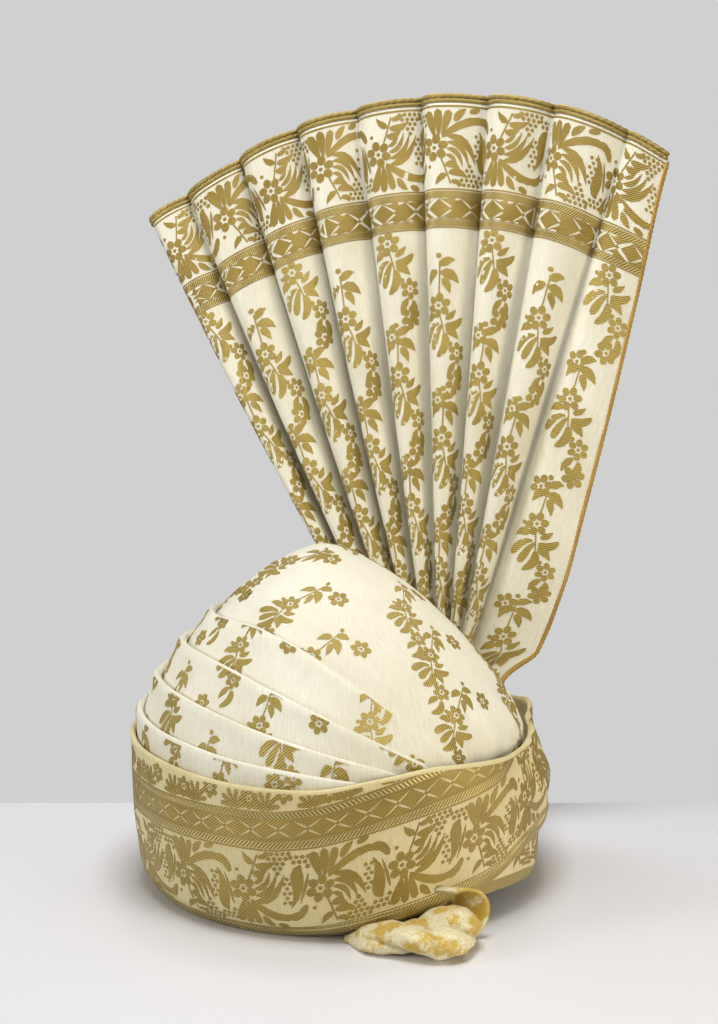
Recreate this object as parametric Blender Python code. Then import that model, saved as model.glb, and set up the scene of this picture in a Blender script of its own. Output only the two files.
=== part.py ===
"""A tied turban of gold brocade, free-standing on its rim.

A pointed crown is hollow for the head. Four diagonal wraps lie over it, and a broad border turn
holds them. A pleated fan is tucked between the crown and the border turn at the rear right, and the
twisted tail lies on the ground under the border turn's lifted edge at the front right.
Metres, +Z up, the front towards -Y and the wearer's left towards +X.
"""

import math

import bmesh
import bpy
import numpy as np

MM = 0.001

# Crown
CROWN_HEIGHT = 200 * MM
CROWN_RADIUS = 111.3 * MM
CROWN_WALL = 3.0 * MM
TIP_LEAN = 10 * MM
OVAL = 1.055
FOOT_FLARE = 4 * MM
FOOT_HEIGHT = 35 * MM

# Turns of cloth round the crown
WRAP_WALL = 2.1 * MM
BORDER_WALL = 2.4 * MM
PLY_GAP = 0.7 * MM
BORDER_HEIGHT = 82 * MM
BORDER_RISE = 15 * MM
RIM_LIFT = 40 * MM
SHOULDER_HEIGHT = 30 * MM
TUCK_DEPTH = 34 * MM
LEFT_FULLNESS = 0.45

# Fan
FAN_RADIUS = 432 * MM
FAN_APEX_X = 65 * MM
FAN_APEX_HEIGHT = 45.5 * MM
FAN_DEPTH = 88 * MM
FAN_YAW = math.radians(9)
FAN_WALL = 2.4 * MM
FAN_PLEAT_DEPTH = 20 * MM
FLAP_WIDTH = 34 * MM
FAN_STRAIGHT = 1.9
FAN_BOW = 7 * MM
FAN_ROOT_HEIGHT = 50 * MM
FAN_ROOT_DEPTH = 4 * MM
EDGING_WIDTH = 6.5 * MM
EDGING_WALL = 4.0 * MM
SEAM_GAP = 0.3 * MM

# Tail
TAIL_LENGTH_ANGLE = math.radians(31)
TAIL_END_ANGLE = math.radians(-57.5)
TAIL_WIDTH = 41 * MM
TAIL_HEIGHT = 22 * MM
TAIL_TWIST = math.radians(300)
TAIL_LOBES = 3
TAIL_LOBE_DEPTH = 0.10

# Facets
COLUMNS = 48
TAIL_SIDES = 12
PROFILE_STEPS = 16

# Outline of the crown's outside: height as a share of CROWN_HEIGHT, radius of CROWN_RADIUS
CROWN_OUTLINE = (
    (0.000, 0.865),
    (0.055, 0.941),
    (0.150, 0.974),
    (0.290, 0.996),
    (0.385, 1.000),
    (0.460, 0.984),
    (0.600, 0.865),
    (0.775, 0.632),
    (0.850, 0.497),
    (0.910, 0.362),
    (0.950, 0.247),
    (0.980, 0.142),
    (1.000, 0.000),
)

# Heights of the crown's rows of facets, as shares of CROWN_HEIGHT above the border turn
CROWN_ROWS = (0.15, 0.30, 0.44, 0.57, 0.68, 0.78, 0.865, 0.93, 0.975, 1.0)

# Heights of the rows that all turns share, and of the wraps' knee, as shares of BORDER_HEIGHT
LOW_ROWS = (0.0, 0.145, 0.42)
KNEE = 0.92
FULL_HEIGHT = 1.45

# Each wrap: name, height of its fold at the left over BORDER_HEIGHT as a share of the crown above
# it, angle where the fold comes down to BORDER_HEIGHT at the front, power of the fold's curve,
# facet rows above LOW_ROWS
WRAPS = (
    ("wrap_turn_1", 0.655, -51.5, 2.80, 6),
    ("wrap_turn_2", 0.506, -57.0, 1.75, 5),
    ("wrap_turn_3", 0.335, -63.0, 1.35, 3),
    ("wrap_turn_4", 0.172, -70.0, 1.00, 2),
)
REAR_CROSSING = 84.0
REAR_POWER = 1.5
TUCK_RATE = 3.0

# Round the border turn: angle in degrees, top edge as a share of BORDER_RISE, lower edge of
# RIM_LIFT, how far the top leans in over the wraps as a share of their stack, how far the turn
# swells over the fan's root as a share of its depth, how far under the top edge the wraps end as a
# share of TUCK_DEPTH, the crown's and the wraps' lower edge as a share of RIM_LIFT
BORDER_TURN = (
    (-180, 0.45, 0.00, 0.00, 0.00, 0.10, 0.00),
    (-142, 0.26, 0.00, 0.00, 0.00, 0.10, 0.00),
    (-110, 0.00, 0.00, 0.00, 0.00, 0.10, 0.00),
    (-98, 0.00, 0.05, 0.00, 0.00, 0.12, 0.00),
    (-80, 0.38, 0.24, 0.00, 0.00, 0.15, 0.06),
    (-65, 0.62, 0.42, 0.00, 0.00, 0.30, 0.20),
    (-47, 0.50, 0.60, 0.06, 0.00, 0.72, 0.38),
    (-30, 0.42, 0.92, 0.66, 0.00, 1.00, 0.32),
    (-10, 0.52, 1.00, 0.85, 0.00, 1.00, 0.12),
    (5, 0.62, 1.00, 0.75, 0.00, 1.00, 0.00),
    (27, 0.55, 0.85, 0.00, 1.00, 0.40, 0.00),
    (78, 0.50, 0.25, 0.00, 1.00, 0.20, 0.00),
    (100, 0.40, 0.06, 0.00, 0.00, 0.10, 0.00),
    (130, 0.40, 0.00, 0.00, 0.00, 0.10, 0.00),
    (180, 0.45, 0.00, 0.00, 0.00, 0.10, 0.00),
)

# Valleys between the fan's pleats: angle from the upright in degrees, top as a share of FAN_RADIUS
FAN_VALLEYS = (
    (-28.6, 0.948),
    (-24.2, 0.956),
    (-18.5, 0.970),
    (-12.8, 0.984),
    (-7.4, 0.993),
    (-1.8, 0.999),
    (3.8, 1.000),
    (9.5, 0.996),
    (16.0, 0.980),
)
FAN_CORNER = 0.962

# Across one pleat: place from valley to valley, height as a share of the pleat's depth
PLEAT_FORM = ((0.00, 0.00), (0.14, 0.50), (0.36, 0.90), (0.58, 1.00), (0.80, 0.72))

# Across the last, plain panel: share of FLAP_WIDTH, height as a share of the pleat's depth
FLAP_FORM = ((0.00, 0.00), (0.10, 0.42), (0.30, 0.66), (0.65, 0.62), (1.00, 0.36))

# Up the fan: share of FAN_RADIUS, depth of the pleats as a share of the way from FAN_ROOT_DEPTH
# to FAN_PLEAT_DEPTH, width of the plain panel as a share of FLAP_WIDTH
FAN_RISE = (
    (0.010, 0.00, 0.78),
    (0.070, 0.00, 0.78),
    (0.120, 0.02, 0.86),
    (0.175, 0.28, 1.25),
    (0.240, 0.58, 1.34),
    (0.320, 0.80, 1.32),
    (0.430, 0.96, 1.27),
    (0.580, 1.00, 1.17),
    (0.780, 0.82, 1.00),
    (1.000, 0.55, 0.80),
)

# Along the tail from its right end: share of its length, widths and heights as shares
TAIL_FORM = (
    (0.00, 0.40, 0.56),
    (0.06, 0.80, 0.90),
    (0.16, 1.00, 1.00),
    (0.30, 1.00, 0.94),
    (0.45, 0.92, 0.84),
    (0.60, 0.80, 0.76),
    (0.74, 0.66, 0.66),
    (0.87, 0.46, 0.50),
    (1.00, 0.20, 0.26),
)


def clear_scene():
    """Removes the startup objects."""
    for thing in list(bpy.data.objects):
        bpy.data.objects.remove(thing, do_unlink=True)


def smoothstep(low, high, value):
    """0 below low, 1 above high, and an even S between them."""
    share = np.clip((value - low) / (high - low), 0.0, 1.0)
    return share * share * (3.0 - 2.0 * share)


def hermite(places, values, slopes, where):
    """A smooth curve through values at places, with the given slopes, read at where."""
    span = np.clip(np.searchsorted(places, where, side="right") - 1, 0, len(places) - 2)
    width = places[span + 1] - places[span]
    share = np.clip((where - places[span]) / width, 0.0, 1.0)
    rest = 1.0 - share
    start = values[span] * (1 + 2 * share) * rest**2 + slopes[span] * width * share * rest**2
    end = values[span + 1] * (3 - 2 * share) * share**2
    return start + end - slopes[span + 1] * width * share**2 * rest


def level_slopes(places, values):
    """Slopes that keep the curve through the values from overshooting them."""
    steps = np.diff(values) / np.diff(places)
    slopes = np.zeros(len(values))
    same_way = steps[:-1] * steps[1:] > 0
    middle = 2 * steps[:-1] * steps[1:] / np.where(same_way, steps[:-1] + steps[1:], 1.0)
    slopes[1:-1] = np.where(same_way, middle, 0.0)
    return slopes


def read_table(table, column, where):
    """A column of a table read between its rows, by the table's first column."""
    rows = np.array([[row[0], row[column]] for row in table], float)
    return hermite(rows[:, 0], rows[:, 1], level_slopes(rows[:, 0], rows[:, 1]), where)


def crown_profile():
    """The crown's outline from rim to tip: radius, height, length so far and slant of its outside."""
    shares = np.array(CROWN_OUTLINE)
    points = np.column_stack([shares[:, 1] * CROWN_RADIUS, shares[:, 0] * CROWN_HEIGHT])
    chord = np.concatenate([[0], np.cumsum(np.linalg.norm(np.diff(points, axis=0), axis=1))])
    slopes = np.gradient(points, chord, axis=0)
    slopes[-1] = (-1.0, 0.0)
    where = np.linspace(0, chord[-1], PROFILE_STEPS * len(chord))
    radius = hermite(chord, points[:, 0], slopes[:, 0], where)
    height = hermite(chord, points[:, 1], slopes[:, 1], where)
    length = np.concatenate([[0], np.cumsum(np.hypot(np.diff(radius), np.diff(height)))])
    slant = np.arctan2(-np.gradient(radius, length), np.gradient(height, length))
    return radius, height, length, np.maximum(slant, 0.0)


PROFILE_RADIUS, PROFILE_HEIGHT, PROFILE_LENGTH, PROFILE_SLANT = crown_profile()


def place_at(height, offset=0.0):
    """How far up the crown's outline a ply at this offset reaches this height."""
    return np.interp(height, PROFILE_HEIGHT + offset * np.sin(PROFILE_SLANT), PROFILE_LENGTH)


def ply_point(angle, place, offset):
    """A point at this angle and place on the outline, offset outwards from the crown's outside."""
    radius = np.interp(place, PROFILE_LENGTH, PROFILE_RADIUS)
    height = np.interp(place, PROFILE_LENGTH, PROFILE_HEIGHT)
    slant = np.interp(place, PROFILE_LENGTH, PROFILE_SLANT)
    leftward = (1 - math.cos(angle)) / 2
    over_border = smoothstep(BORDER_HEIGHT, CROWN_HEIGHT, height)
    if offset > 0:
        full = smoothstep(KNEE * BORDER_HEIGHT, FULL_HEIGHT * BORDER_HEIGHT, height)
        offset *= 1 + LEFT_FULLNESS * leftward**2 * full
    flare = FOOT_FLARE * max(math.cos(angle), 0.0) ** 2
    radius += flare * max(1.0 - height / FOOT_HEIGHT, 0.0) ** 2 + offset * math.cos(slant)
    return (
        radius * math.cos(angle) - TIP_LEAN * over_border,
        OVAL * radius * math.sin(angle),
        height + offset * math.sin(slant),
    )


def border_shape(angle):
    """Top and lower height, inward lean, swell over the fan, depth and lift of the wraps' ends."""
    degrees = math.degrees(angle)
    stack = border_offset() - PLY_GAP
    sizes = (BORDER_RISE, RIM_LIFT, stack, fan_pocket(), TUCK_DEPTH, RIM_LIFT)
    top, *others = [float(size * read_table(BORDER_TURN, column, degrees))
                    for column, size in enumerate(sizes, 1)]
    return BORDER_HEIGHT + top, *others


def fan_pocket():
    """Room that the fan's root takes under the border turn."""
    return FAN_ROOT_DEPTH + FAN_WALL + 2 * PLY_GAP


def ply_offset(index):
    """Where the inside of this ply lies, out from the crown."""
    return PLY_GAP + index * (WRAP_WALL + PLY_GAP)


def border_offset():
    """Where the inside of the border turn lies, out from the crown."""
    return ply_offset(len(WRAPS))


def wrap_top(angle, rise, crossing, power):
    """Height of a wrap's folded edge at this angle, or of its tucked end under the border turn."""
    top, _, _, _, tuck, _ = border_shape(angle)
    if angle > 0:
        crossing, power = REAR_CROSSING, REAR_POWER
    share = (1 + math.cos(angle)) / (1 + math.cos(math.radians(crossing)))
    over = rise * (CROWN_HEIGHT - BORDER_HEIGHT) * (1 - share**power) + BORDER_HEIGHT - top
    if over < 0:
        over *= TUCK_RATE
    return top + max(over, -tuck)


def angles():
    """The angles of the facet columns, starting at the left."""
    return [-math.pi + 2 * math.pi * i / COLUMNS for i in range(COLUMNS)]


def ply_places(bottom, knee, top, rows, offset):
    """Places on the outline for one column: the low rows, the knee, then even ones to the top."""
    low = [place_at(max(bottom, share * BORDER_HEIGHT)) for share in LOW_ROWS]
    start, end = place_at(knee), place_at(top, offset)
    return low + [start + (end - start) * i / rows for i in range(rows + 1)]


def finish_object(name, shape, colour):
    """Makes an object of a closed bmesh, with outward faces and a cloth material of this colour."""
    shape.normal_update()
    bmesh.ops.remove_doubles(shape, verts=shape.verts, dist=1e-6)
    bmesh.ops.recalc_face_normals(shape, faces=shape.faces)
    mesh = bpy.data.meshes.new(name)
    shape.to_mesh(mesh)
    shape.free()
    mesh.shade_smooth()
    mesh.set_sharp_from_angle(angle=math.radians(50))
    material = bpy.data.materials.new(name + "_cloth")
    material.use_nodes = True
    shader = material.node_tree.nodes["Principled BSDF"]
    shader.inputs["Base Color"].default_value = (*colour, 1.0)
    shader.inputs["Roughness"].default_value = 0.62
    shader.inputs["Metallic"].default_value = 0.0
    mesh.materials.append(material)
    thing = bpy.data.objects.new(name, mesh)
    bpy.context.scene.collection.objects.link(thing)
    return thing


def wall_shape(front, back, closed):
    """A closed wall between two grids of points, each a list of columns of rows."""
    shape = bmesh.new()
    faces = [[[shape.verts.new(p) for p in column] for column in side] for side in (front, back)]
    rows = len(front[0])
    last = len(front) if closed else len(front) - 1
    for i in range(last):
        j = (i + 1) % len(front)
        for k in range(rows - 1):
            for side in faces:
                shape.faces.new((side[i][k], side[j][k], side[j][k + 1], side[i][k + 1]))
        for k in (0, rows - 1):
            shape.faces.new((faces[0][i][k], faces[0][j][k], faces[1][j][k], faces[1][i][k]))
    if not closed:
        for i in (0, len(front) - 1):
            for k in range(rows - 1):
                corners = (faces[0][i][k], faces[0][i][k + 1], faces[1][i][k + 1], faces[1][i][k])
                shape.faces.new(corners)
    return shape


def make_crown():
    """The pointed dome, hollow for the head."""
    low = [share * BORDER_HEIGHT for share in (*LOW_ROWS, KNEE)]
    over = CROWN_HEIGHT - low[-1]
    heights = low + [low[-1] + share * over for share in CROWN_ROWS]
    outside, inside = [], []
    for angle in angles():
        lift = border_shape(angle)[-1]
        places = [place_at(max(height, lift)) for height in heights]
        outside.append([ply_point(angle, place, 0.0) for place in places])
        inside.append([ply_point(angle, place, -CROWN_WALL) for place in places])
    shape = bmesh.new()
    sides = [[[shape.verts.new(p) for p in column] for column in side] for side in (outside, inside)]
    for side in sides:
        tip = side[0][-1]
        for i, column in enumerate(side):
            following = side[(i + 1) % COLUMNS]
            for k in range(len(places) - 2):
                shape.faces.new((column[k], following[k], following[k + 1], column[k + 1]))
            shape.faces.new((column[-2], following[-2], tip))
        for column in side[1:]:
            shape.verts.remove(column[-1])
    for i in range(COLUMNS):
        j = (i + 1) % COLUMNS
        shape.faces.new((sides[0][i][0], sides[0][j][0], sides[1][j][0], sides[1][i][0]))
    finish_object("crown", shape, (0.86, 0.83, 0.68))


def make_wraps():
    """The four diagonal turns, each over the one before it."""
    for index, (name, rise, crossing, power, rows) in enumerate(WRAPS):
        inner = ply_offset(index)
        grids = []
        for offset in (inner + WRAP_WALL, inner):
            columns = []
            for angle in angles():
                top = wrap_top(angle, rise, crossing, power)
                knee = min(KNEE * BORDER_HEIGHT, (LOW_ROWS[-1] * BORDER_HEIGHT + 2 * top) / 3)
                bottom = border_shape(angle)[-1]
                places = ply_places(bottom, knee, top, rows, inner + WRAP_WALL)
                columns.append([ply_point(angle, place, offset) for place in places])
            grids.append(columns)
        finish_object(name, wall_shape(*grids, closed=True), (0.86, 0.83, 0.66))


def make_border():
    """The broad outer turn, lifted at the right and leaning in over the plies that end under it."""
    rows = 4
    grids = []
    for offset in (border_offset() + BORDER_WALL, border_offset()):
        columns = []
        for angle in angles():
            top, bottom, lean, swell, _, _ = border_shape(angle)
            column = []
            for place in ply_places(bottom, top - SHOULDER_HEIGHT, top, rows, offset):
                height = np.interp(place, PROFILE_LENGTH, PROFILE_HEIGHT)
                shift = swell * smoothstep(0.0, LOW_ROWS[-1] * BORDER_HEIGHT, height)
                shift -= lean * smoothstep(top - SHOULDER_HEIGHT, top, height)
                column.append(ply_point(angle, place, offset + shift))
            columns.append(column)
        grids.append(columns)
    finish_object("border_turn", wall_shape(*grids, closed=True), (0.62, 0.50, 0.18))


def fan_columns():
    """Across the fan: angle, share of the plain panel, height of the pleat, share of the radius."""
    columns = []
    for (left, low), (right, high) in zip(FAN_VALLEYS, FAN_VALLEYS[1:]):
        for share, height in PLEAT_FORM:
            angle = math.radians(left + share * (right - left))
            columns.append((angle, 0.0, height, low + share * (high - low)))
    last, top = FAN_VALLEYS[-1]
    for share, height in FLAP_FORM:
        columns.append((math.radians(last), share, height, top + share * (FAN_CORNER - top)))
    return columns


def pocket_offset():
    """Middle of the fan's root, between the wraps and the border turn."""
    return border_offset() + (FAN_ROOT_DEPTH + FAN_WALL + PLY_GAP / 2) / 2


def pocket_point(angle, height):
    """A point in the middle of the fan's pocket, held at its mouth above it."""
    held = min(height, BORDER_HEIGHT + BORDER_RISE)
    return np.array(ply_point(angle, place_at(held, pocket_offset()), pocket_offset())[:2])


def fan_point(column, reach, depth, flap, offset):
    """A point of the fan at this reach from its apex, offset to the rear of the cloth."""
    slope, panel, height, top = column
    reach *= 1 - (1 - top) * reach / FAN_RADIUS
    exit_reach = BORDER_HEIGHT + BORDER_RISE - FAN_APEX_HEIGHT
    upright = smoothstep(exit_reach, 3 * exit_reach, reach)
    across = FAN_APEX_X + max(reach, exit_reach) * math.sin(slope)
    across += panel * flap * math.cos(slope * upright)
    share = min(max(reach - exit_reach, 0.0) / (FAN_RADIUS - exit_reach), 1.0)
    leftward = max(slope / math.radians(FAN_VALLEYS[0][0]), 0.0)
    across -= 4 * FAN_BOW * leftward * share * (1 - share)
    up = FAN_APEX_HEIGHT + reach * math.cos(slope * upright)
    up -= panel * flap * math.sin(slope * upright)
    tucked = FAN_APEX_X + exit_reach * math.sin(slope) + panel * FLAP_WIDTH * FAN_RISE[0][2]
    round_angle = math.acos(min(tucked / (CROWN_RADIUS + pocket_offset()), 1.0))
    blend = smoothstep(exit_reach, FAN_STRAIGHT * exit_reach, reach)
    root = np.array([math.cos(round_angle), math.sin(round_angle)])
    flat = np.array([math.sin(FAN_YAW), math.cos(FAN_YAW)])
    facing = root + (flat - root) * blend
    facing /= np.linalg.norm(facing)
    straight = np.array([across, FAN_DEPTH - math.tan(FAN_YAW) * (across - FAN_APEX_X)])
    middle = pocket_point(round_angle, up) * (1 - blend) + straight * blend
    at = middle + facing * (offset + depth * (0.5 - height))
    return at[0], at[1], up


def fan_grids(rises, wall):
    """Front and back grids of the fan between the rises: reach, pleat depth and panel width."""
    return [
        [[fan_point(column, *rise, side * wall / 2) for rise in rises] for column in fan_columns()]
        for side in (-1, 1)
    ]


def make_fan():
    """The pleated fan and the corded edging along its top."""
    more = FAN_PLEAT_DEPTH - FAN_ROOT_DEPTH
    rises = [(share * FAN_RADIUS, FAN_ROOT_DEPTH + more * depth, FLAP_WIDTH * width)
             for share, depth, width in FAN_RISE]
    rises[0] = (FAN_ROOT_HEIGHT - FAN_APEX_HEIGHT, *rises[0][1:])
    finish_object("fan_pleats", wall_shape(*fan_grids(rises, FAN_WALL), closed=False),
                  (0.72, 0.66, 0.42))
    start = FAN_RADIUS + SEAM_GAP
    edging = [(reach, *rises[-1][1:]) for reach in (start, start + EDGING_WIDTH)]
    finish_object("fan_edging", wall_shape(*fan_grids(edging, EDGING_WALL), closed=False),
                  (0.55, 0.43, 0.12))


def make_tail():
    """The twisted tail, lying on the ground against the border turn's lower edge."""
    shape = bmesh.new()
    rings = []
    for share, width, height in TAIL_FORM:
        angle = TAIL_END_ANGLE - share * TAIL_LENGTH_ANGLE
        half_width, half_height = width * TAIL_WIDTH / 2, height * TAIL_HEIGHT / 2
        outside = border_offset() + BORDER_WALL
        x, y, _ = ply_point(angle, place_at(half_height), outside)
        centre = math.hypot(x, y) + PLY_GAP + half_width
        ring = []
        for i in range(TAIL_SIDES):
            turn = 2 * math.pi * i / TAIL_SIDES
            lobe = 1 - TAIL_LOBE_DEPTH * (1 + math.cos(TAIL_LOBES * turn + share * TAIL_TWIST)) / 2
            radius = centre + lobe * half_width * math.cos(turn)
            up = half_height * (1 + lobe * math.sin(turn))
            ring.append((radius * math.cos(angle), radius * math.sin(angle), up))
        lowest = min(point[2] for point in ring)
        rings.append([shape.verts.new((x, y, z - lowest)) for x, y, z in ring])
    for ring, following in zip(rings, rings[1:]):
        for i in range(TAIL_SIDES):
            j = (i + 1) % TAIL_SIDES
            shape.faces.new((ring[i], ring[j], following[j], following[i]))
    for ring in (rings[0], rings[-1]):
        shape.faces.new(ring)
    finish_object("tail_twist", shape, (0.78, 0.70, 0.45))


def centre_on_ground():
    """Moves every piece so that the origin lies under the middle of the whole, on the ground."""
    things = list(bpy.context.scene.collection.objects)
    corners = np.array([vertex.co[:] for thing in things for vertex in thing.data.vertices])
    middle = (corners.min(axis=0) + corners.max(axis=0)) / 2
    for thing in things:
        for vertex in thing.data.vertices:
            vertex.co.x -= middle[0]
            vertex.co.y -= middle[1]


clear_scene()
make_crown()
make_wraps()
make_border()
make_fan()
make_tail()
centre_on_ground()
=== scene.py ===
"""The looks of a tied turban: silk cloth, woven gold motifs, corded edging and a twisted tail."""

import logging
import math
from contextlib import contextmanager
from dataclasses import dataclass, field
from enum import Enum
from typing import Callable, Iterable, Iterator, Sequence

import bmesh
import bpy
import numpy as np
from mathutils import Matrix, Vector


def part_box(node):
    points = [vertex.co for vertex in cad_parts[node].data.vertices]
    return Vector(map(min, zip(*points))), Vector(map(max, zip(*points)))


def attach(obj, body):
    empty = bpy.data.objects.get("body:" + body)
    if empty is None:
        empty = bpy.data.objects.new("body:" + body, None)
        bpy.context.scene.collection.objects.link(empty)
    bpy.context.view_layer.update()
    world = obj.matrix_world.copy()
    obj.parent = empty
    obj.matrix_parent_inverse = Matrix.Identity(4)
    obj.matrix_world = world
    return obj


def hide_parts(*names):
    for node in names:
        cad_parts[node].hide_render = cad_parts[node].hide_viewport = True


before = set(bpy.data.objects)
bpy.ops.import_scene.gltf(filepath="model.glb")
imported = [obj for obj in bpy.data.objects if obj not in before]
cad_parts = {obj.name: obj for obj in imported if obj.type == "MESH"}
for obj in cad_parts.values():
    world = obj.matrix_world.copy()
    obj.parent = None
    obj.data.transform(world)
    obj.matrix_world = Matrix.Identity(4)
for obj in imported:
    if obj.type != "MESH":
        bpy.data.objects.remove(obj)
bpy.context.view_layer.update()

MM = 0.001
CLOTH_MAP = "cloth"
FLAP_END = 0.9999  # the plain panel's far edge, just short of the next whole number
LOG = logging.getLogger("turban")

Grid = np.ndarray
Table = Sequence[Sequence[float]]


def smoothstep(low: float, high: float, value: Grid) -> Grid:
    """0 below low, 1 above high, and an even S between them.

    Args:
        low: where the rise starts.
        high: where it ends.
        value: the numbers to read.

    Returns:
        A share for each number.
    """
    share = np.clip((np.asarray(value, float) - low) / (high - low), 0.0, 1.0)
    return share * share * (3.0 - 2.0 * share)


def hump(centre: float, reach: float, value: Grid) -> Grid:
    """1 at the centre, falling to 0 at this reach on both sides."""
    return 1.0 - smoothstep(0.0, reach, np.abs(np.asarray(value, float) - centre))


def hermite(places: Grid, values: Grid, slopes: Grid, where: Grid) -> Grid:
    """A smooth curve through values at places, with the given slopes, read at where."""
    span = np.clip(np.searchsorted(places, where, side="right") - 1, 0, len(places) - 2)
    width = places[span + 1] - places[span]
    share = np.clip((where - places[span]) / width, 0.0, 1.0)
    rest = 1.0 - share
    start = values[span] * (1 + 2 * share) * rest**2 + slopes[span] * width * share * rest**2
    end = values[span + 1] * (3 - 2 * share) * share**2
    return start + end - slopes[span + 1] * width * share**2 * rest


def read_table(table: Table, column: int, where: Grid) -> Grid:
    """A column of a table read between its rows without overshooting, by its first column.

    Args:
        table: rows of numbers, rising in their first column.
        column: which column is read.
        where: the places to read it at, in the first column's units.

    Returns:
        A number for each place.
    """
    rows = np.array([[row[0], row[column]] for row in table], float)
    places, values = rows[:, 0], rows[:, 1]
    steps = np.diff(values) / np.diff(places)
    slopes = np.zeros(len(values))
    same_way = steps[:-1] * steps[1:] > 0
    middle = 2 * steps[:-1] * steps[1:] / np.where(same_way, steps[:-1] + steps[1:], 1.0)
    slopes[1:-1] = np.where(same_way, middle, 0.0)
    return hermite(places, values, slopes, np.asarray(where, float))


def wrinkles(u: Grid, v: Grid, scale: float, seed: float) -> Grid:
    """Soft, even creases between -1 and 1, from a few crossed waves.

    Args:
        u: place across, in metres.
        v: place along, in metres.
        scale: length of the main wave in metres.
        seed: shifts the waves, so that two cloths differ.

    Returns:
        A height share for each point.
    """
    k = 2 * math.pi / scale
    total = np.sin(k * (0.81 * u + 0.59 * v) + seed)
    total = total + np.sin(k * 1.43 * (0.32 * u - 0.95 * v) + 2.1 * seed + 1.7 * np.sin(k * 0.31 * u))
    total = total + 0.6 * np.sin(k * 2.17 * (0.67 * u + 0.74 * v) + 3.3 * seed + 1.3 * np.sin(k * 0.5 * v))
    return total / 2.6


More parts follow.
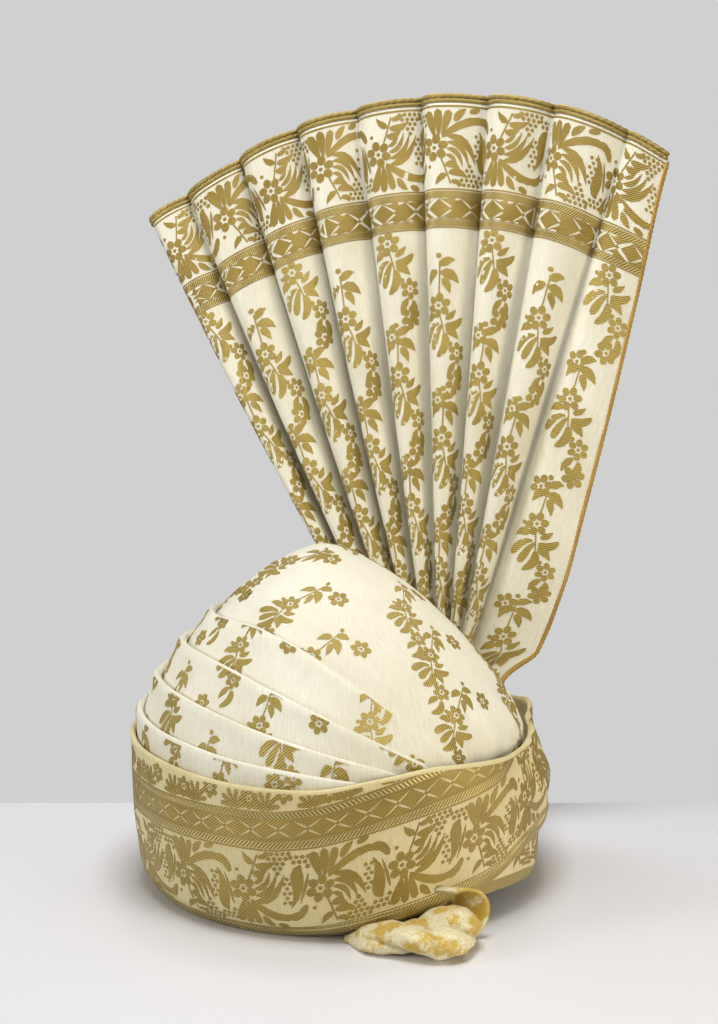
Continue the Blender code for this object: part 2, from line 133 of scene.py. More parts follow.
@dataclass(frozen=True)
class HeadForm:
    """The outline that every turn of cloth is offset from, round the head's upright axis."""

    height: float = 200 * MM
    radius: float = 111.3 * MM
    crown_wall: float = 3.0 * MM
    tip_lean: float = 10 * MM
    oval: float = 1.055
    foot_flare: float = 4 * MM
    foot_height: float = 35 * MM
    wrap_wall: float = 2.1 * MM
    border_wall: float = 2.4 * MM
    ply_gap: float = 0.7 * MM
    border_height: float = 82 * MM
    border_rise: float = 15 * MM
    rim_lift: float = 40 * MM
    shoulder: float = 30 * MM
    tuck_depth: float = 34 * MM
    left_fullness: float = 0.45
    knee: float = 0.92
    full_height: float = 1.45
    fan_root_depth: float = 4 * MM
    fan_wall: float = 2.4 * MM
    steps: int = 16
    # height as a share of the crown's height, radius as a share of its radius
    outline: Table = (
        (0.000, 0.865),
        (0.055, 0.941),
        (0.150, 0.974),
        (0.290, 0.996),
        (0.385, 1.000),
        (0.460, 0.984),
        (0.600, 0.865),
        (0.775, 0.632),
        (0.850, 0.497),
        (0.910, 0.362),
        (0.950, 0.247),
        (0.980, 0.142),
        (1.000, 0.000),
    )
    # angle, border's top, border's lower edge, inward lean, swell, depth and lift of the wraps' ends
    turn: Table = (
        (-180, 0.45, 0.00, 0.00, 0.00, 0.10, 0.00),
        (-142, 0.26, 0.00, 0.00, 0.00, 0.10, 0.00),
        (-110, 0.00, 0.00, 0.00, 0.00, 0.10, 0.00),
        (-98, 0.00, 0.05, 0.00, 0.00, 0.12, 0.00),
        (-80, 0.38, 0.24, 0.00, 0.00, 0.15, 0.06),
        (-65, 0.62, 0.42, 0.00, 0.00, 0.30, 0.20),
        (-47, 0.50, 0.60, 0.06, 0.00, 0.72, 0.38),
        (-30, 0.42, 0.92, 0.66, 0.00, 1.00, 0.32),
        (-10, 0.52, 1.00, 0.85, 0.00, 1.00, 0.12),
        (5, 0.62, 1.00, 0.75, 0.00, 1.00, 0.00),
        (27, 0.55, 0.85, 0.00, 1.00, 0.40, 0.00),
        (78, 0.50, 0.25, 0.00, 1.00, 0.20, 0.00),
        (100, 0.40, 0.06, 0.00, 0.00, 0.10, 0.00),
        (130, 0.40, 0.00, 0.00, 0.00, 0.10, 0.00),
        (180, 0.45, 0.00, 0.00, 0.00, 0.10, 0.00),
    )

    def __post_init__(self) -> None:
        """Works the outline out once, with the head's axis from the frame."""
        shares = np.array(self.outline)
        points = np.column_stack([shares[:, 1] * self.radius, shares[:, 0] * self.height])
        chord = run_length(points)
        slopes = np.gradient(points, chord, axis=0)
        slopes[-1] = (-1.0, 0.0)
        where = np.linspace(0, chord[-1], self.steps * len(chord))
        radii = hermite(chord, points[:, 0], slopes[:, 0], where)
        heights = hermite(chord, points[:, 1], slopes[:, 1], where)
        length = np.concatenate([[0], np.cumsum(np.hypot(np.diff(radii), np.diff(heights)))])
        slant = np.maximum(np.arctan2(-np.gradient(radii, length), np.gradient(heights, length)), 0.0)
        low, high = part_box("crown")
        axis = np.array([(low[0] + high[0]) / 2, (low[1] + high[1]) / 2, 0.0])
        for name, value in (("radii", radii), ("heights", heights), ("lengths", length),
                            ("slants", slant), ("axis", axis)):
            object.__setattr__(self, name, value)

    def place_at(self, height: Grid, offset: float = 0.0) -> Grid:
        """How far up the outline a cloth at this offset reaches this height."""
        return np.interp(height, self.heights + offset * np.sin(self.slants), self.lengths)

    def height_at(self, place: Grid) -> Grid:
        """The height of the outline at this place."""
        return np.interp(place, self.lengths, self.heights)

    def radius_at(self, place: Grid) -> Grid:
        """The radius of the outline at this place."""
        return np.interp(place, self.lengths, self.radii)

    def point(self, angle: Grid, place: Grid, offset: Grid) -> Grid:
        """Points on a cloth at this offset out from the crown's outside.

        Args:
            angle: round the head in radians, -90 degrees at the front.
            place: length up the outline in metres.
            offset: distance out from the crown's outside in metres.

        Returns:
            Points in the frame, one more dimension than the arguments.
        """
        angle, place, offset = np.broadcast_arrays(*(np.asarray(a, float) for a in (angle, place, offset)))
        radius, height = self.radius_at(place), self.height_at(place)
        slant = np.interp(place, self.lengths, self.slants)
        leftward = (1 - np.cos(angle)) / 2
        full = smoothstep(self.knee * self.border_height, self.full_height * self.border_height, height)
        offset = np.where(offset > 0, offset * (1 + self.left_fullness * leftward**2 * full), offset)
        flare = self.foot_flare * np.maximum(np.cos(angle), 0.0) ** 2
        radius = radius + flare * np.maximum(1.0 - height / self.foot_height, 0.0) ** 2
        radius = radius + offset * np.cos(slant)
        lean = self.tip_lean * smoothstep(self.border_height, self.height, height)
        return self.axis + np.stack(
            [radius * np.cos(angle) - lean, self.oval * radius * np.sin(angle),
             height + offset * np.sin(slant)], axis=-1)

    def wrap_offset(self, index: int) -> float:
        """Where the inside of this wrap lies, out from the crown."""
        return self.ply_gap + index * (self.wrap_wall + self.ply_gap)

    @property
    def border_offset(self) -> float:
        """Where the inside of the border turn lies, out from the crown."""
        return self.wrap_offset(4)

    @property
    def pocket(self) -> float:
        """Room that the fan's root takes under the border turn."""
        return self.fan_root_depth + self.fan_wall + 2 * self.ply_gap

    def turn_share(self, column: int, angle: Grid) -> Grid:
        """A column of the turn's table at these angles."""
        return read_table(self.turn, column, np.degrees(angle))

    def border_top(self, angle: Grid) -> Grid:
        """Height of the border turn's upper edge."""
        return self.border_height + self.border_rise * self.turn_share(1, angle)

    def border_foot(self, angle: Grid) -> Grid:
        """Height of the border turn's lower edge."""
        return self.rim_lift * self.turn_share(2, angle)

    def lower_edge(self, angle: Grid) -> Grid:
        """Height of the crown's and the wraps' lower edge."""
        return self.rim_lift * self.turn_share(6, angle)


class Profile(Enum):
    """How a stroke's width runs from its start to its end."""

    OVAL = "oval"
    LEAF = "leaf"
    DROP = "drop"
    HOOK = "hook"
    BAR = "bar"
    DIAMOND = "diamond"
    WEDGE = "wedge"

    def shares(self, along: Grid) -> Grid:
        """The width as a share of the widest, at these shares of the length."""
        forms: dict[Profile, Callable[[Grid], Grid]] = {
            Profile.OVAL: lambda t: np.sqrt(np.maximum(1 - (2 * t - 1) ** 2, 0)),
            Profile.LEAF: lambda t: np.sin(np.pi * np.clip(t, 0, 1) ** 0.75) ** 0.8,
            Profile.DROP: lambda t: (0.18 + 0.82 * t**0.8) * np.sqrt(np.maximum(1 - t**7, 0)),
            Profile.HOOK: lambda t: (0.30 + 0.70 * np.sin(np.pi * np.clip(0.12 + 0.8 * t, 0, 1)))
            * np.sqrt(np.maximum(1 - (2 * t - 1) ** 10, 0)),
            Profile.BAR: lambda t: np.ones_like(t),
            Profile.DIAMOND: lambda t: 1 - np.abs(2 * t - 1),
            Profile.WEDGE: lambda t: 1 - t,
        }
        return np.maximum(forms[self](along), 0.08)


@dataclass(frozen=True)
class Stroke:
    """One woven shape: a curved line with a width, in millimetres."""

    line: tuple[tuple[float, float], ...]
    width: float
    profile: Profile = Profile.LEAF
    stations: int = 6

    def outline(self) -> Grid:
        """Left and right edge of the shape at each station.

        Returns:
            An array of stations by 2 sides by 2 coordinates.
        """
        even = np.linspace(0, 1, self.stations)
        straight = self.profile in (Profile.BAR, Profile.DIAMOND, Profile.WEDGE)
        along = even if straight else (1 - np.cos(np.pi * even)) / 2
        order = len(self.line) - 1
        centre = np.zeros((self.stations, 2))
        slope = np.zeros((self.stations, 2))
        for k, point in enumerate(self.line):
            share = math.comb(order, k) * along**k * (1 - along) ** (order - k)
            centre += share[:, None] * np.array(point, float)
        for k in range(order):
            share = order * math.comb(order - 1, k) * along**k * (1 - along) ** (order - 1 - k)
            slope += share[:, None] * (np.array(self.line[k + 1], float) - np.array(self.line[k], float))
        slope /= np.maximum(np.linalg.norm(slope, axis=1, keepdims=True), 1e-9)
        normal = np.stack([-slope[:, 1], slope[:, 0]], axis=-1)
        half = (self.width / 2 * self.profile.shares(along))[:, None]
        return np.stack([centre + half * normal, centre - half * normal], axis=1)


@dataclass
class Motif:
    """A group of woven shapes that repeats over the cloth."""

    strokes: list[Stroke] = field(default_factory=list)

    def petal_ring(self, x: float, y: float, reach: float, petals: int = 6, turn: float = 90.0) -> None:
        """Adds a flower: a ring of oval petals round a small centre.

        Args:
            x: place of the centre across, in millimetres.
            y: place of the centre along.
            reach: distance to the middle of a petal.
            petals: how many there are.
            turn: direction of the first, in degrees.
        """
        length = reach * 1.10
        for k in range(petals):
            way = math.radians(turn + 360 * k / petals)
            near, far = reach - length / 2, reach + length / 2
            line = tuple((x + r * math.cos(way), y + r * math.sin(way)) for r in (near, far))
            self.strokes.append(Stroke(line, reach * 0.95, Profile.OVAL))
        self.dot(x, y, reach * 0.46)

    def dot(self, x: float, y: float, size: float) -> None:
        """Adds a round dot of this size."""
        self.strokes.append(Stroke(((x - size / 2, y), (x + size / 2, y)), size, Profile.OVAL, 5))

    def spray(self, x: float, y: float, turns: Sequence[float], reach: float, width: float,
              bend: float = 0.16, profile: Profile = Profile.DROP) -> None:
        """Adds leaves that spread from one point.

        Args:
            x: place of the point across, in millimetres.
            y: its place along.
            turns: direction of each leaf in degrees.
            reach: length of the middle leaves.
            width: their width.
            bend: how far a leaf bows sideways, as a share of its length.
            profile: the leaves' form.
        """
        middle = sum(turns) / len(turns)
        spread = max(abs(t - middle) for t in turns) or 1.0
        for t in turns:
            side = (t - middle) / spread
            length = reach * (1 - 0.28 * abs(side))
            way = math.radians(t)
            out = np.array([math.cos(way), math.sin(way)])
            across = np.array([-out[1], out[0]]) * bend * length * side
            start = np.array([x, y]) + 0.12 * length * out
            line = (start, start + 0.5 * length * out - across, start + length * out + 0.6 * across)
            self.strokes.append(Stroke(tuple(map(tuple, line)), width, profile))

    def outlines(self, flip: bool = False, scale: float = 1.0) -> list[Grid]:
        """Every shape's outline, upside down where flip is set, at this scale."""
        sign = np.array([1.0, -1.0 if flip else 1.0])
        return [stroke.outline() * sign * scale for stroke in self.strokes]


@dataclass(frozen=True)
class Brocade:
    """The cloth's woven figures, in millimetres: x to the right and y up the cloth."""

    unit: float = 43.0
    band: float = 47.0
    fullness: float = 1.32
    sprig_drop: float = 86.0
    sprig_pitch: float = 52.0
    turn_figures: float = 44.4
    turn_foot: float = 8.7
    turn_head: float = 53.2
    fan_figures: float = 50.5
    # start, bends and tip of each leaf, its width, its profile and its stations
    border_leaves: tuple[tuple[tuple[tuple[float, float], ...], float, Profile, int], ...] = (
        (((13.0, 31.0), (11.5, 37.0), (8.5, 45.5)), 5.8, Profile.DROP, 6),
        (((15.6, 31.0), (15.8, 38.0), (15.0, 46.5)), 4.8, Profile.DROP, 6),
        (((17.6, 31.0), (20.0, 38.0), (21.4, 45.8)), 4.6, Profile.DROP, 6),
        (((17.5, 29.5), (27.0, 38.5), (41.0, 44.0), (45.8, 36.6)), 3.7, Profile.HOOK, 9),
        (((24.5, 39.0), (27.0, 44.5), (31.0, 46.4)), 3.4, Profile.LEAF, 6),
        (((33.0, 44.6), (39.5, 46.8)), 2.8, Profile.OVAL, 5),
        (((20.5, 30.2), (33.0, 30.5), (38.2, 13.8)), 3.5, Profile.LEAF, 9),
        (((20.5, 26.6), (30.5, 27.0), (33.8, 12.6)), 2.7, Profile.LEAF, 8),
        (((20.3, 22.8), (27.6, 23.0), (29.8, 12.2)), 2.4, Profile.LEAF, 8),
        (((19.8, 19.2), (24.6, 19.0), (26.2, 12.0)), 2.0, Profile.LEAF, 7),
        (((17.0, 17.0), (20.0, 10.0), (22.5, 2.0)), 0.9, Profile.BAR, 6),
        (((19.4, 12.6), (23.5, 15.6), (28.2, 10.6)), 3.4, Profile.LEAF, 6),
        (((21.4, 8.2), (27.0, 11.0), (33.4, 5.6)), 3.7, Profile.LEAF, 6),
        (((20.2, 7.2), (16.6, 7.4), (13.6, 1.6)), 3.1, Profile.LEAF, 6),
        (((22.8, 3.4), (26.0, 4.0), (30.4, 1.0)), 2.5, Profile.LEAF, 5),
        (((2.4, 38.2), (-4.0, 33.0), (4.6, 26.0), (-3.6, 13.6)), 5.6, Profile.LEAF, 9),
        (((6.4, 33.6), (4.6, 24.0), (1.4, 15.6)), 1.3, Profile.LEAF, 7),
        (((5.2, 14.8), (3.0, 8.0), (-3.5, 5.6)), 3.4, Profile.HOOK, 7),
    )
    sprig_leaves: tuple[tuple[tuple[tuple[float, float], ...], float, Profile, int], ...] = (
        (((0.6, 34.5), (4.0, 39.6), (9.6, 38.6)), 4.4, Profile.LEAF, 6),
        (((0.4, 30.0), (7.5, 31.5), (12.6, 23.6)), 5.2, Profile.LEAF, 7),
        (((-1.2, 31.0), (-6.6, 31.0), (-8.4, 22.6)), 4.6, Profile.LEAF, 6),
        (((1.4, 26.4), (5.2, 24.0), (6.4, 17.0)), 4.0, Profile.LEAF, 6),
        (((0.2, 38.0), (0.0, 26.0), (-0.6, 16.4)), 0.9, Profile.BAR, 5),
        (((-3.8, 1.6), (-9.2, 4.0), (-13.2, -1.8)), 4.6, Profile.LEAF, 6),
        (((3.4, 0.6), (8.0, 2.0), (10.8, 6.6)), 3.4, Profile.LEAF, 5),
        (((-0.8, -2.6), (-8.4, -3.0), (-12.6, -15.4)), 5.6, Profile.DROP, 7),
        (((1.0, -3.4), (-3.0, -9.0), (-5.8, -19.6)), 5.2, Profile.DROP, 7),
        (((3.4, -3.2), (10.4, -6.6), (16.4, 1.6)), 4.4, Profile.HOOK, 7),
        (((3.6, -6.4), (9.0, -6.6), (13.4, -12.4)), 4.6, Profile.LEAF, 6),
        (((2.6, -8.4), (6.8, -17.0), (-2.2, -24.0)), 4.6, Profile.HOOK, 7),
        (((-0.2, 3.0), (1.8, -3.0), (3.4, -14.0)), 0.9, Profile.BAR, 5),
        (((14.6, -29.0), (19.6, -37.0), (10.0, -44.4)), 4.2, Profile.HOOK, 7),
        (((11.6, -27.6), (6.6, -32.0), (5.8, -38.4)), 3.6, Profile.LEAF, 6),
    )

    def leaves(self, table: Iterable[tuple]) -> Motif:
        """A motif of the leaves in a table."""
        return Motif([Stroke(line, width * (1.0 if profile is Profile.BAR else self.fullness), profile, count)
                      for line, width, profile, count in table])

    @staticmethod
    def net(motif: Motif, middle: float, first: tuple[float, float], last: tuple[float, float],
            pitch: float = 3.3, size: float = 2.5) -> None:
        """Adds a net of dots between two heights, with a half-width at each.

        Args:
            motif: where the dots go.
            middle: place of the net's middle across.
            first: its lower height and the half-width there.
            last: its upper height and the half-width there.
            pitch: distance from dot to dot.
            size: how wide a dot is.
        """
        rows = int((last[0] - first[0]) / (pitch * 0.866)) + 1
        for row in range(rows):
            y = first[0] + row * pitch * 0.866
            share = (y - first[0]) / (last[0] - first[0])
            half = first[1] + share * (last[1] - first[1])
            start = (row % 2) * pitch / 2
            for step in range(-4, 5):
                x = start + step * pitch
                if abs(x) <= half:
                    motif.dot(middle + x, y, size)

    def border_flower(self) -> Motif:
        """One unit of the border: a flower, its leaves and two nets of dots."""
        motif = self.leaves(self.border_leaves)
        motif.petal_ring(13.0, 23.4, 5.3, 6, 78.0)
        motif.dot(6.2, 37.6, 2.6)
        motif.dot(9.6, 12.4, 2.2)
        self.net(motif, 1.5, (31.5 + 9.0, 3.6), (46.0, 6.6))
        self.net(motif, 34.4, (1.4, 7.4), (13.0, 2.6))
        self.net(motif, 39.6, (16.4, 1.8), (33.0, 3.4), size=2.2)
        return motif

    def flower_pair(self, height: float) -> tuple[list[Grid], list[Grid]]:
        """The border's flower, upright and hanging, scaled so that the band is this many millimetres high."""
        upright, hanging = (self.border_flower().outlines(flip, height / self.band) for flip in (False, True))
        return upright, hanging

    def sprig(self) -> Motif:
        """The field's sprig: two flowers on a leafy stem."""
        motif = self.leaves(self.sprig_leaves)
        motif.petal_ring(-1.0, 9.2, 5.3, 6, 80.0)
        motif.petal_ring(13.0, -21.4, 4.7, 6, 95.0)
        motif.dot(-0.4, 41.4, 3.6)
        motif.dot(7.4, -15.6, 3.2)
        motif.dot(-9.8, 7.8, 3.0)
        return motif

    def flower(self, reach: float = 5.2) -> Motif:
        """A single flower."""
        motif = Motif()
        motif.petal_ring(0.0, 0.0, reach, 6, 84.0)
        return motif

    def leaf_fan(self) -> Motif:
        """Leaves that stand up from the lattice like a fan."""
        motif = Motif()
        motif.spray(0.0, 0.0, (22.0, 50.0, 78.0, 106.0, 134.0, 160.0), 12.5, 3.8)
        return motif

    def diamonds(self, pitch: float, height: float) -> Motif:
        """One step of the lattice: a wide diamond, a small one beside it, and the halves around them."""
        motif = Motif()
        half = height / 2
        for x, wide, tall in ((0.0, 0.84, 1.02), (pitch / 2, 0.16, 0.24)):
            line = ((x - pitch / 2 * wide, 0.0), (x + pitch / 2 * wide, 0.0))
            motif.strokes.append(Stroke(line, height * tall, Profile.DIAMOND, 5))
        for side in (-1.0, 1.0):
            line = ((pitch / 2, side * half), (pitch / 2, side * height * 0.14))
            motif.strokes.append(Stroke(line, pitch * 0.92, Profile.WEDGE, 4))
            line = ((0.0, side * (half + 0.55)), (pitch, side * (half + 0.55)))
            motif.strokes.append(Stroke(line, 0.8, Profile.BAR, 3))
        return motif


@dataclass
class Face:
    """The outer side of one cloth, on which motifs are woven.

    Attributes:
        surface: gives points for two cloth coordinates and a lift off the cloth.
        spread: turns millimetres from an anchor into cloth coordinates.
        flatten: gives the woven map's place for cloth coordinates, in metres.
        limit: gives the highest second coordinate at a first coordinate.
        floor: gives the lowest one that shows.
    """

    surface: Callable[[Grid, Grid, Grid], Grid]
    spread: Callable[[float, float, Grid], Grid]
    flatten: Callable[[Grid, Grid], Grid]
    limit: Callable[[Grid], Grid] | None = None
    floor: Callable[[Grid], Grid] | None = None


def run_length(line: Grid) -> Grid:
    """The length along a line of points up to each of them."""
    return np.concatenate([[0], np.cumsum(np.linalg.norm(np.diff(line, axis=0), axis=1))])


def map_grid(length: Grid, width: Grid) -> Grid:
    """The cloth map's places for every pair of a length and a width."""
    return np.stack(np.meshgrid(length, width, indexing="ij"), axis=-1)


def add_object(name: str, data: bpy.types.ID) -> bpy.types.Object:
    """Makes an object of this data and links it to the scene."""
    thing = bpy.data.objects.new(name, data)
    bpy.context.scene.collection.objects.link(thing)
    return thing


@contextmanager
def opened(piece: bpy.types.Object) -> Iterator[bmesh.types.BMesh]:
    """Opens a piece's mesh for editing, then turns its faces outward and writes it back."""
    shape = bmesh.new()
    shape.from_mesh(piece.data)
    yield shape
    bmesh.ops.recalc_face_normals(shape, faces=shape.faces)
    shape.to_mesh(piece.data)
    shape.free()


def new_mesh(name: str, points: Grid, faces: Grid, corners: Grid) -> bpy.types.Object:
    """Makes a smooth-shaded object with a cloth map.

    Args:
        name: the piece's name.
        points: its points, in metres.
        faces: four point numbers a face.
        corners: the cloth map's place for each corner of each face.

    Returns:
        The new object, linked to the scene.
    """
    mesh = bpy.data.meshes.new(name)
    mesh.from_pydata(points.reshape(-1, 3).tolist(), [], faces.reshape(-1, 4).tolist())
    layer = mesh.uv_layers.new(name=CLOTH_MAP)
    layer.uv.foreach_set("vector", corners.reshape(-1).astype(np.float32))
    mesh.update()
    mesh.shade_smooth()
    return add_object(name, mesh)


def loft(name: str, points: Grid, places: Grid, closed: bool) -> bpy.types.Object:
    """A closed skin through sections that each go once round.

    Args:
        name: the piece's name.
        points: columns by rows of points; each column goes once round its section.
        places: cloth map places with one row more, and one column more where closed.
        closed: whether the last column meets the first, or both ends are capped.

    Returns:
        The new object.
    """
    columns, rows = points.shape[:2]
    spans = columns if closed else columns - 1
    i, k = np.meshgrid(np.arange(spans), np.arange(rows), indexing="ij")
    j, m = (i + 1) % columns, (k + 1) % rows
    faces = np.stack([i * rows + k, j * rows + k, j * rows + m, i * rows + m], axis=-1)
    corners = np.stack([places[i, k], places[i + 1, k], places[i + 1, k + 1], places[i, k + 1]], axis=2)
    piece = new_mesh(name, points, faces, corners)
    if not closed:
        cap_ends(piece, columns, rows)
    return piece


def cap_ends(piece: bpy.types.Object, columns: int, rows: int) -> None:
    """Closes an open skin's first and last section with rungs from side to side."""
    with opened(piece) as shape:
        shape.verts.ensure_lookup_table()
        for start in (0, (columns - 1) * rows):
            for k in range(rows // 2 - 1):
                ring = (start + k, start + k + 1, start + rows - 2 - k, start + rows - 1 - k)
                if len(set(ring)) == 4:
                    shape.faces.new([shape.verts[n] for n in ring])
    piece.data.shade_smooth()


@dataclass
class Weaver:
    """Lays woven gold shapes into a face of cloth, as thin closed slabs a little proud of it."""

    face: Face
    proud: float = 0.24 * MM
    sunk: float = 0.30 * MM
    across: int = 2
    groups: dict[int, list[Grid]] = field(default_factory=dict)

    def lay(self, outlines: Iterable[Grid], u: float, v: float, turn: float = 0.0) -> None:
        """Places shapes with their origin at a point of the cloth.

        Args:
            outlines: the shapes, in millimetres.
            u: the anchor's first cloth coordinate.
            v: its second.
            turn: how far they are turned, in radians.
        """
        way = np.array([[math.cos(turn), math.sin(turn)], [-math.sin(turn), math.cos(turn)]])
        for outline in outlines:
            at = self.face.spread(u, v, outline @ way)
            if self.face.limit is not None:
                highest = self.face.limit(at[..., 0])
                if (at[..., 1] > highest).all():
                    continue
                at[..., 1] = np.minimum(at[..., 1], highest)
            if self.face.floor is not None and (at[..., 1] < self.face.floor(at[..., 0])).all():
                continue
            self.groups.setdefault(len(at), []).append(at)

    def strip(self, first: Grid, low: float, high: float) -> None:
        """Lays one long band between two lines of the cloth.

        Args:
            first: the first cloth coordinate at each station.
            low: the second coordinate of the band's lower line.
            high: the second coordinate of its upper line.
        """
        upper = np.stack([first, np.full_like(first, high)], axis=-1)
        lower = np.stack([first, np.full_like(first, low)], axis=-1)
        edges = np.stack([upper, lower], axis=1)
        if self.face.limit is not None:
            edges[..., 1] = np.minimum(edges[..., 1], self.face.limit(edges[..., 0]))
        self.groups.setdefault(len(edges), []).append(edges)

    def build(self, name: str, finish: bpy.types.Material) -> bpy.types.Object:
        """Makes one object of every shape laid so far.

        Args:
            name: the piece's name.
            finish: its material.

        Returns:
            The new object.
        """
        points, faces, corners = [], [], []
        count = 0
        for stations, shapes in sorted(self.groups.items()):
            edges = np.array(shapes)
            shares = np.linspace(0, 1, self.across)[:, None]
            at = edges[:, :, :1] * (1 - shares) + edges[:, :, 1:] * shares
            u, v = at[..., 0], at[..., 1]
            layers = [self.face.surface(u, v, np.full(u.shape, lift)) for lift in (self.proud, -self.sunk)]
            solid = np.stack(layers, axis=3)
            number = np.arange(solid[..., 0].size).reshape(solid.shape[:-1]) + count
            count += number.size
            places = np.stack([self.face.flatten(u, v)] * 2, axis=3).reshape(-1, 2)
            quads = slab_faces(number)
            points.append(solid.reshape(-1, 3))
            faces.append(quads)
            corners.append(places[quads - number.min()])
        piece = new_mesh(name, np.concatenate(points), np.concatenate(faces), np.concatenate(corners))
        with opened(piece):
            pass
        piece.data.set_sharp_from_angle(angle=math.radians(50))
        piece.data.materials.append(finish)
        return piece


def slab_faces(number: Grid) -> Grid:
    """Faces of thin slabs, from their point numbers by shape, station, side and layer."""
    top, low = number[..., 0], number[..., 1]

    def strip(a: Grid, b: Grid, c: Grid, d: Grid) -> Grid:
        """Quads from four lists of corners."""
        return np.stack([a, b, c, d], axis=-1).reshape(-1, 4)

    def patch(grid: Grid, turned: bool) -> Grid:
        """Quads over a grid of stations and sides."""
        quads = strip(grid[:, :-1, :-1], grid[:, :-1, 1:], grid[:, 1:, 1:], grid[:, 1:, :-1])
        return quads[:, ::-1] if turned else quads

    return np.concatenate([
        patch(top, False),
        patch(low, True),
        strip(top[:, 1:, 0], low[:, 1:, 0], low[:, :-1, 0], top[:, :-1, 0]),
        strip(top[:, :-1, -1], low[:, :-1, -1], low[:, 1:, -1], top[:, 1:, -1]),
        strip(top[:, 0, :-1], low[:, 0, :-1], low[:, 0, 1:], top[:, 0, 1:]),
        strip(top[:, -1, 1:], low[:, -1, 1:], low[:, -1, :-1], top[:, -1, :-1]),
    ])


class NodeBoard:
    """A material's node tree, with short ways to add and join its nodes."""

    def __init__(self, name: str) -> None:
        """Starts a material of this name with its shader ready."""
        self.material = bpy.data.materials.new(name)
        self.material.use_nodes = True
        self.tree = self.material.node_tree
        self.shader = self.tree.nodes["Principled BSDF"]

    def node(self, kind: str, **values: object) -> bpy.types.Node:
        """Adds a node of this kind, with attributes and socket values set by name.

        Args:
            kind: the node's class name, without its prefix.
            values: attributes, or sockets with underscores for spaces.

        Returns:
            The new node.
        """
        made = self.tree.nodes.new("ShaderNode" + kind)
        for name, value in values.items():
            if hasattr(made, name):
                setattr(made, name, value)
            else:
                made.inputs[name.replace("_", " ")].default_value = value
        return made

    def join(self, source: bpy.types.NodeSocket, target: bpy.types.NodeSocket) -> None:
        """Links one socket to another."""
        self.tree.links.new(source, target)

    def cloth_place(self, turn: float = 0.0) -> bpy.types.NodeSocket:
        """The cloth map's place, turned by this many degrees."""
        place = self.node("UVMap", uv_map=CLOTH_MAP)
        mapping = self.node("Mapping")
        mapping.inputs["Rotation"].default_value = (0, 0, math.radians(turn))
        self.join(place.outputs["UV"], mapping.inputs["Vector"])
        return mapping.outputs["Vector"]

    def ribs(self, pitch: float, turn: float, wander: float = 0.0) -> bpy.types.NodeSocket:
        """Even ribs across the cloth map.

        Args:
            pitch: distance from rib to rib in metres.
            turn: direction in degrees.
            wander: how uneven they are.

        Returns:
            A socket from 0 between the ribs to 1 on them.
        """
        wave = self.node("TexWave", wave_type="BANDS", bands_direction="X", wave_profile="SIN",
                         Scale=0.314159 / pitch, Distortion=wander, Detail=1.0, Detail_Scale=0.6)
        self.join(self.cloth_place(turn), wave.inputs["Vector"])
        return wave.outputs["Fac"]

    def cloud(self, size: float, detail: float = 3.0) -> bpy.types.NodeSocket:
        """Soft noise with patches of about this size in metres."""
        place = self.node("TexCoord")
        noise = self.node("TexNoise", Scale=1.0 / size, Detail=detail, Roughness=0.55)
        self.join(place.outputs["Object"], noise.inputs["Vector"])
        return noise.outputs["Fac"]

    def between(self, factor: bpy.types.NodeSocket, low: Sequence[float], high: Sequence[float],
                start: float = 0.0, end: float = 1.0) -> bpy.types.NodeSocket:
        """A colour between two as a factor rises from start to end."""
        ramp = self.node("ValToRGB")
        for element, place, colour in zip(ramp.color_ramp.elements, (start, end), (low, high)):
            element.position = place
            element.color = (*colour, 1.0)
        self.join(factor, ramp.inputs["Fac"])
        return ramp.outputs["Color"]

    def times(self, first: bpy.types.NodeSocket, second: bpy.types.NodeSocket,
              share: float = 1.0) -> bpy.types.NodeSocket:
        """The first colour darkened by the second, by this share."""
        mix = self.node("MixRGB", blend_type="MULTIPLY")
        mix.inputs["Fac"].default_value = share
        self.join(first, mix.inputs["Color1"])
        self.join(second, mix.inputs["Color2"])
        return mix.outputs["Color"]

    def raised(self, heights: Sequence[tuple[bpy.types.NodeSocket, float, float]]) -> None:
        """Stacks bumps on the shader: height, strength and distance in metres of each."""
        normal = None
        for height, strength, distance in heights:
            bump = self.node("Bump", Strength=strength, Distance=distance)
            self.join(height, bump.inputs["Height"])
            if normal is not None:
                self.join(normal, bump.inputs["Normal"])
            normal = bump.outputs["Normal"]
        self.join(normal, self.shader.inputs["Normal"])

    def finish(self, colour: bpy.types.NodeSocket, roughness: float, metal: float, sheen: float,
               tint: Sequence[float]) -> bpy.types.Material:
        """Sets the shader's own values and returns the material."""
        self.join(colour, self.shader.inputs["Base Color"])
        self.shader.inputs["Roughness"].default_value = roughness
        self.shader.inputs["Metallic"].default_value = metal
        self.shader.inputs["Sheen Weight"].default_value = sheen
        self.shader.inputs["Sheen Roughness"].default_value = 0.45
        self.shader.inputs["Sheen Tint"].default_value = (*tint, 1.0)
        return self.material


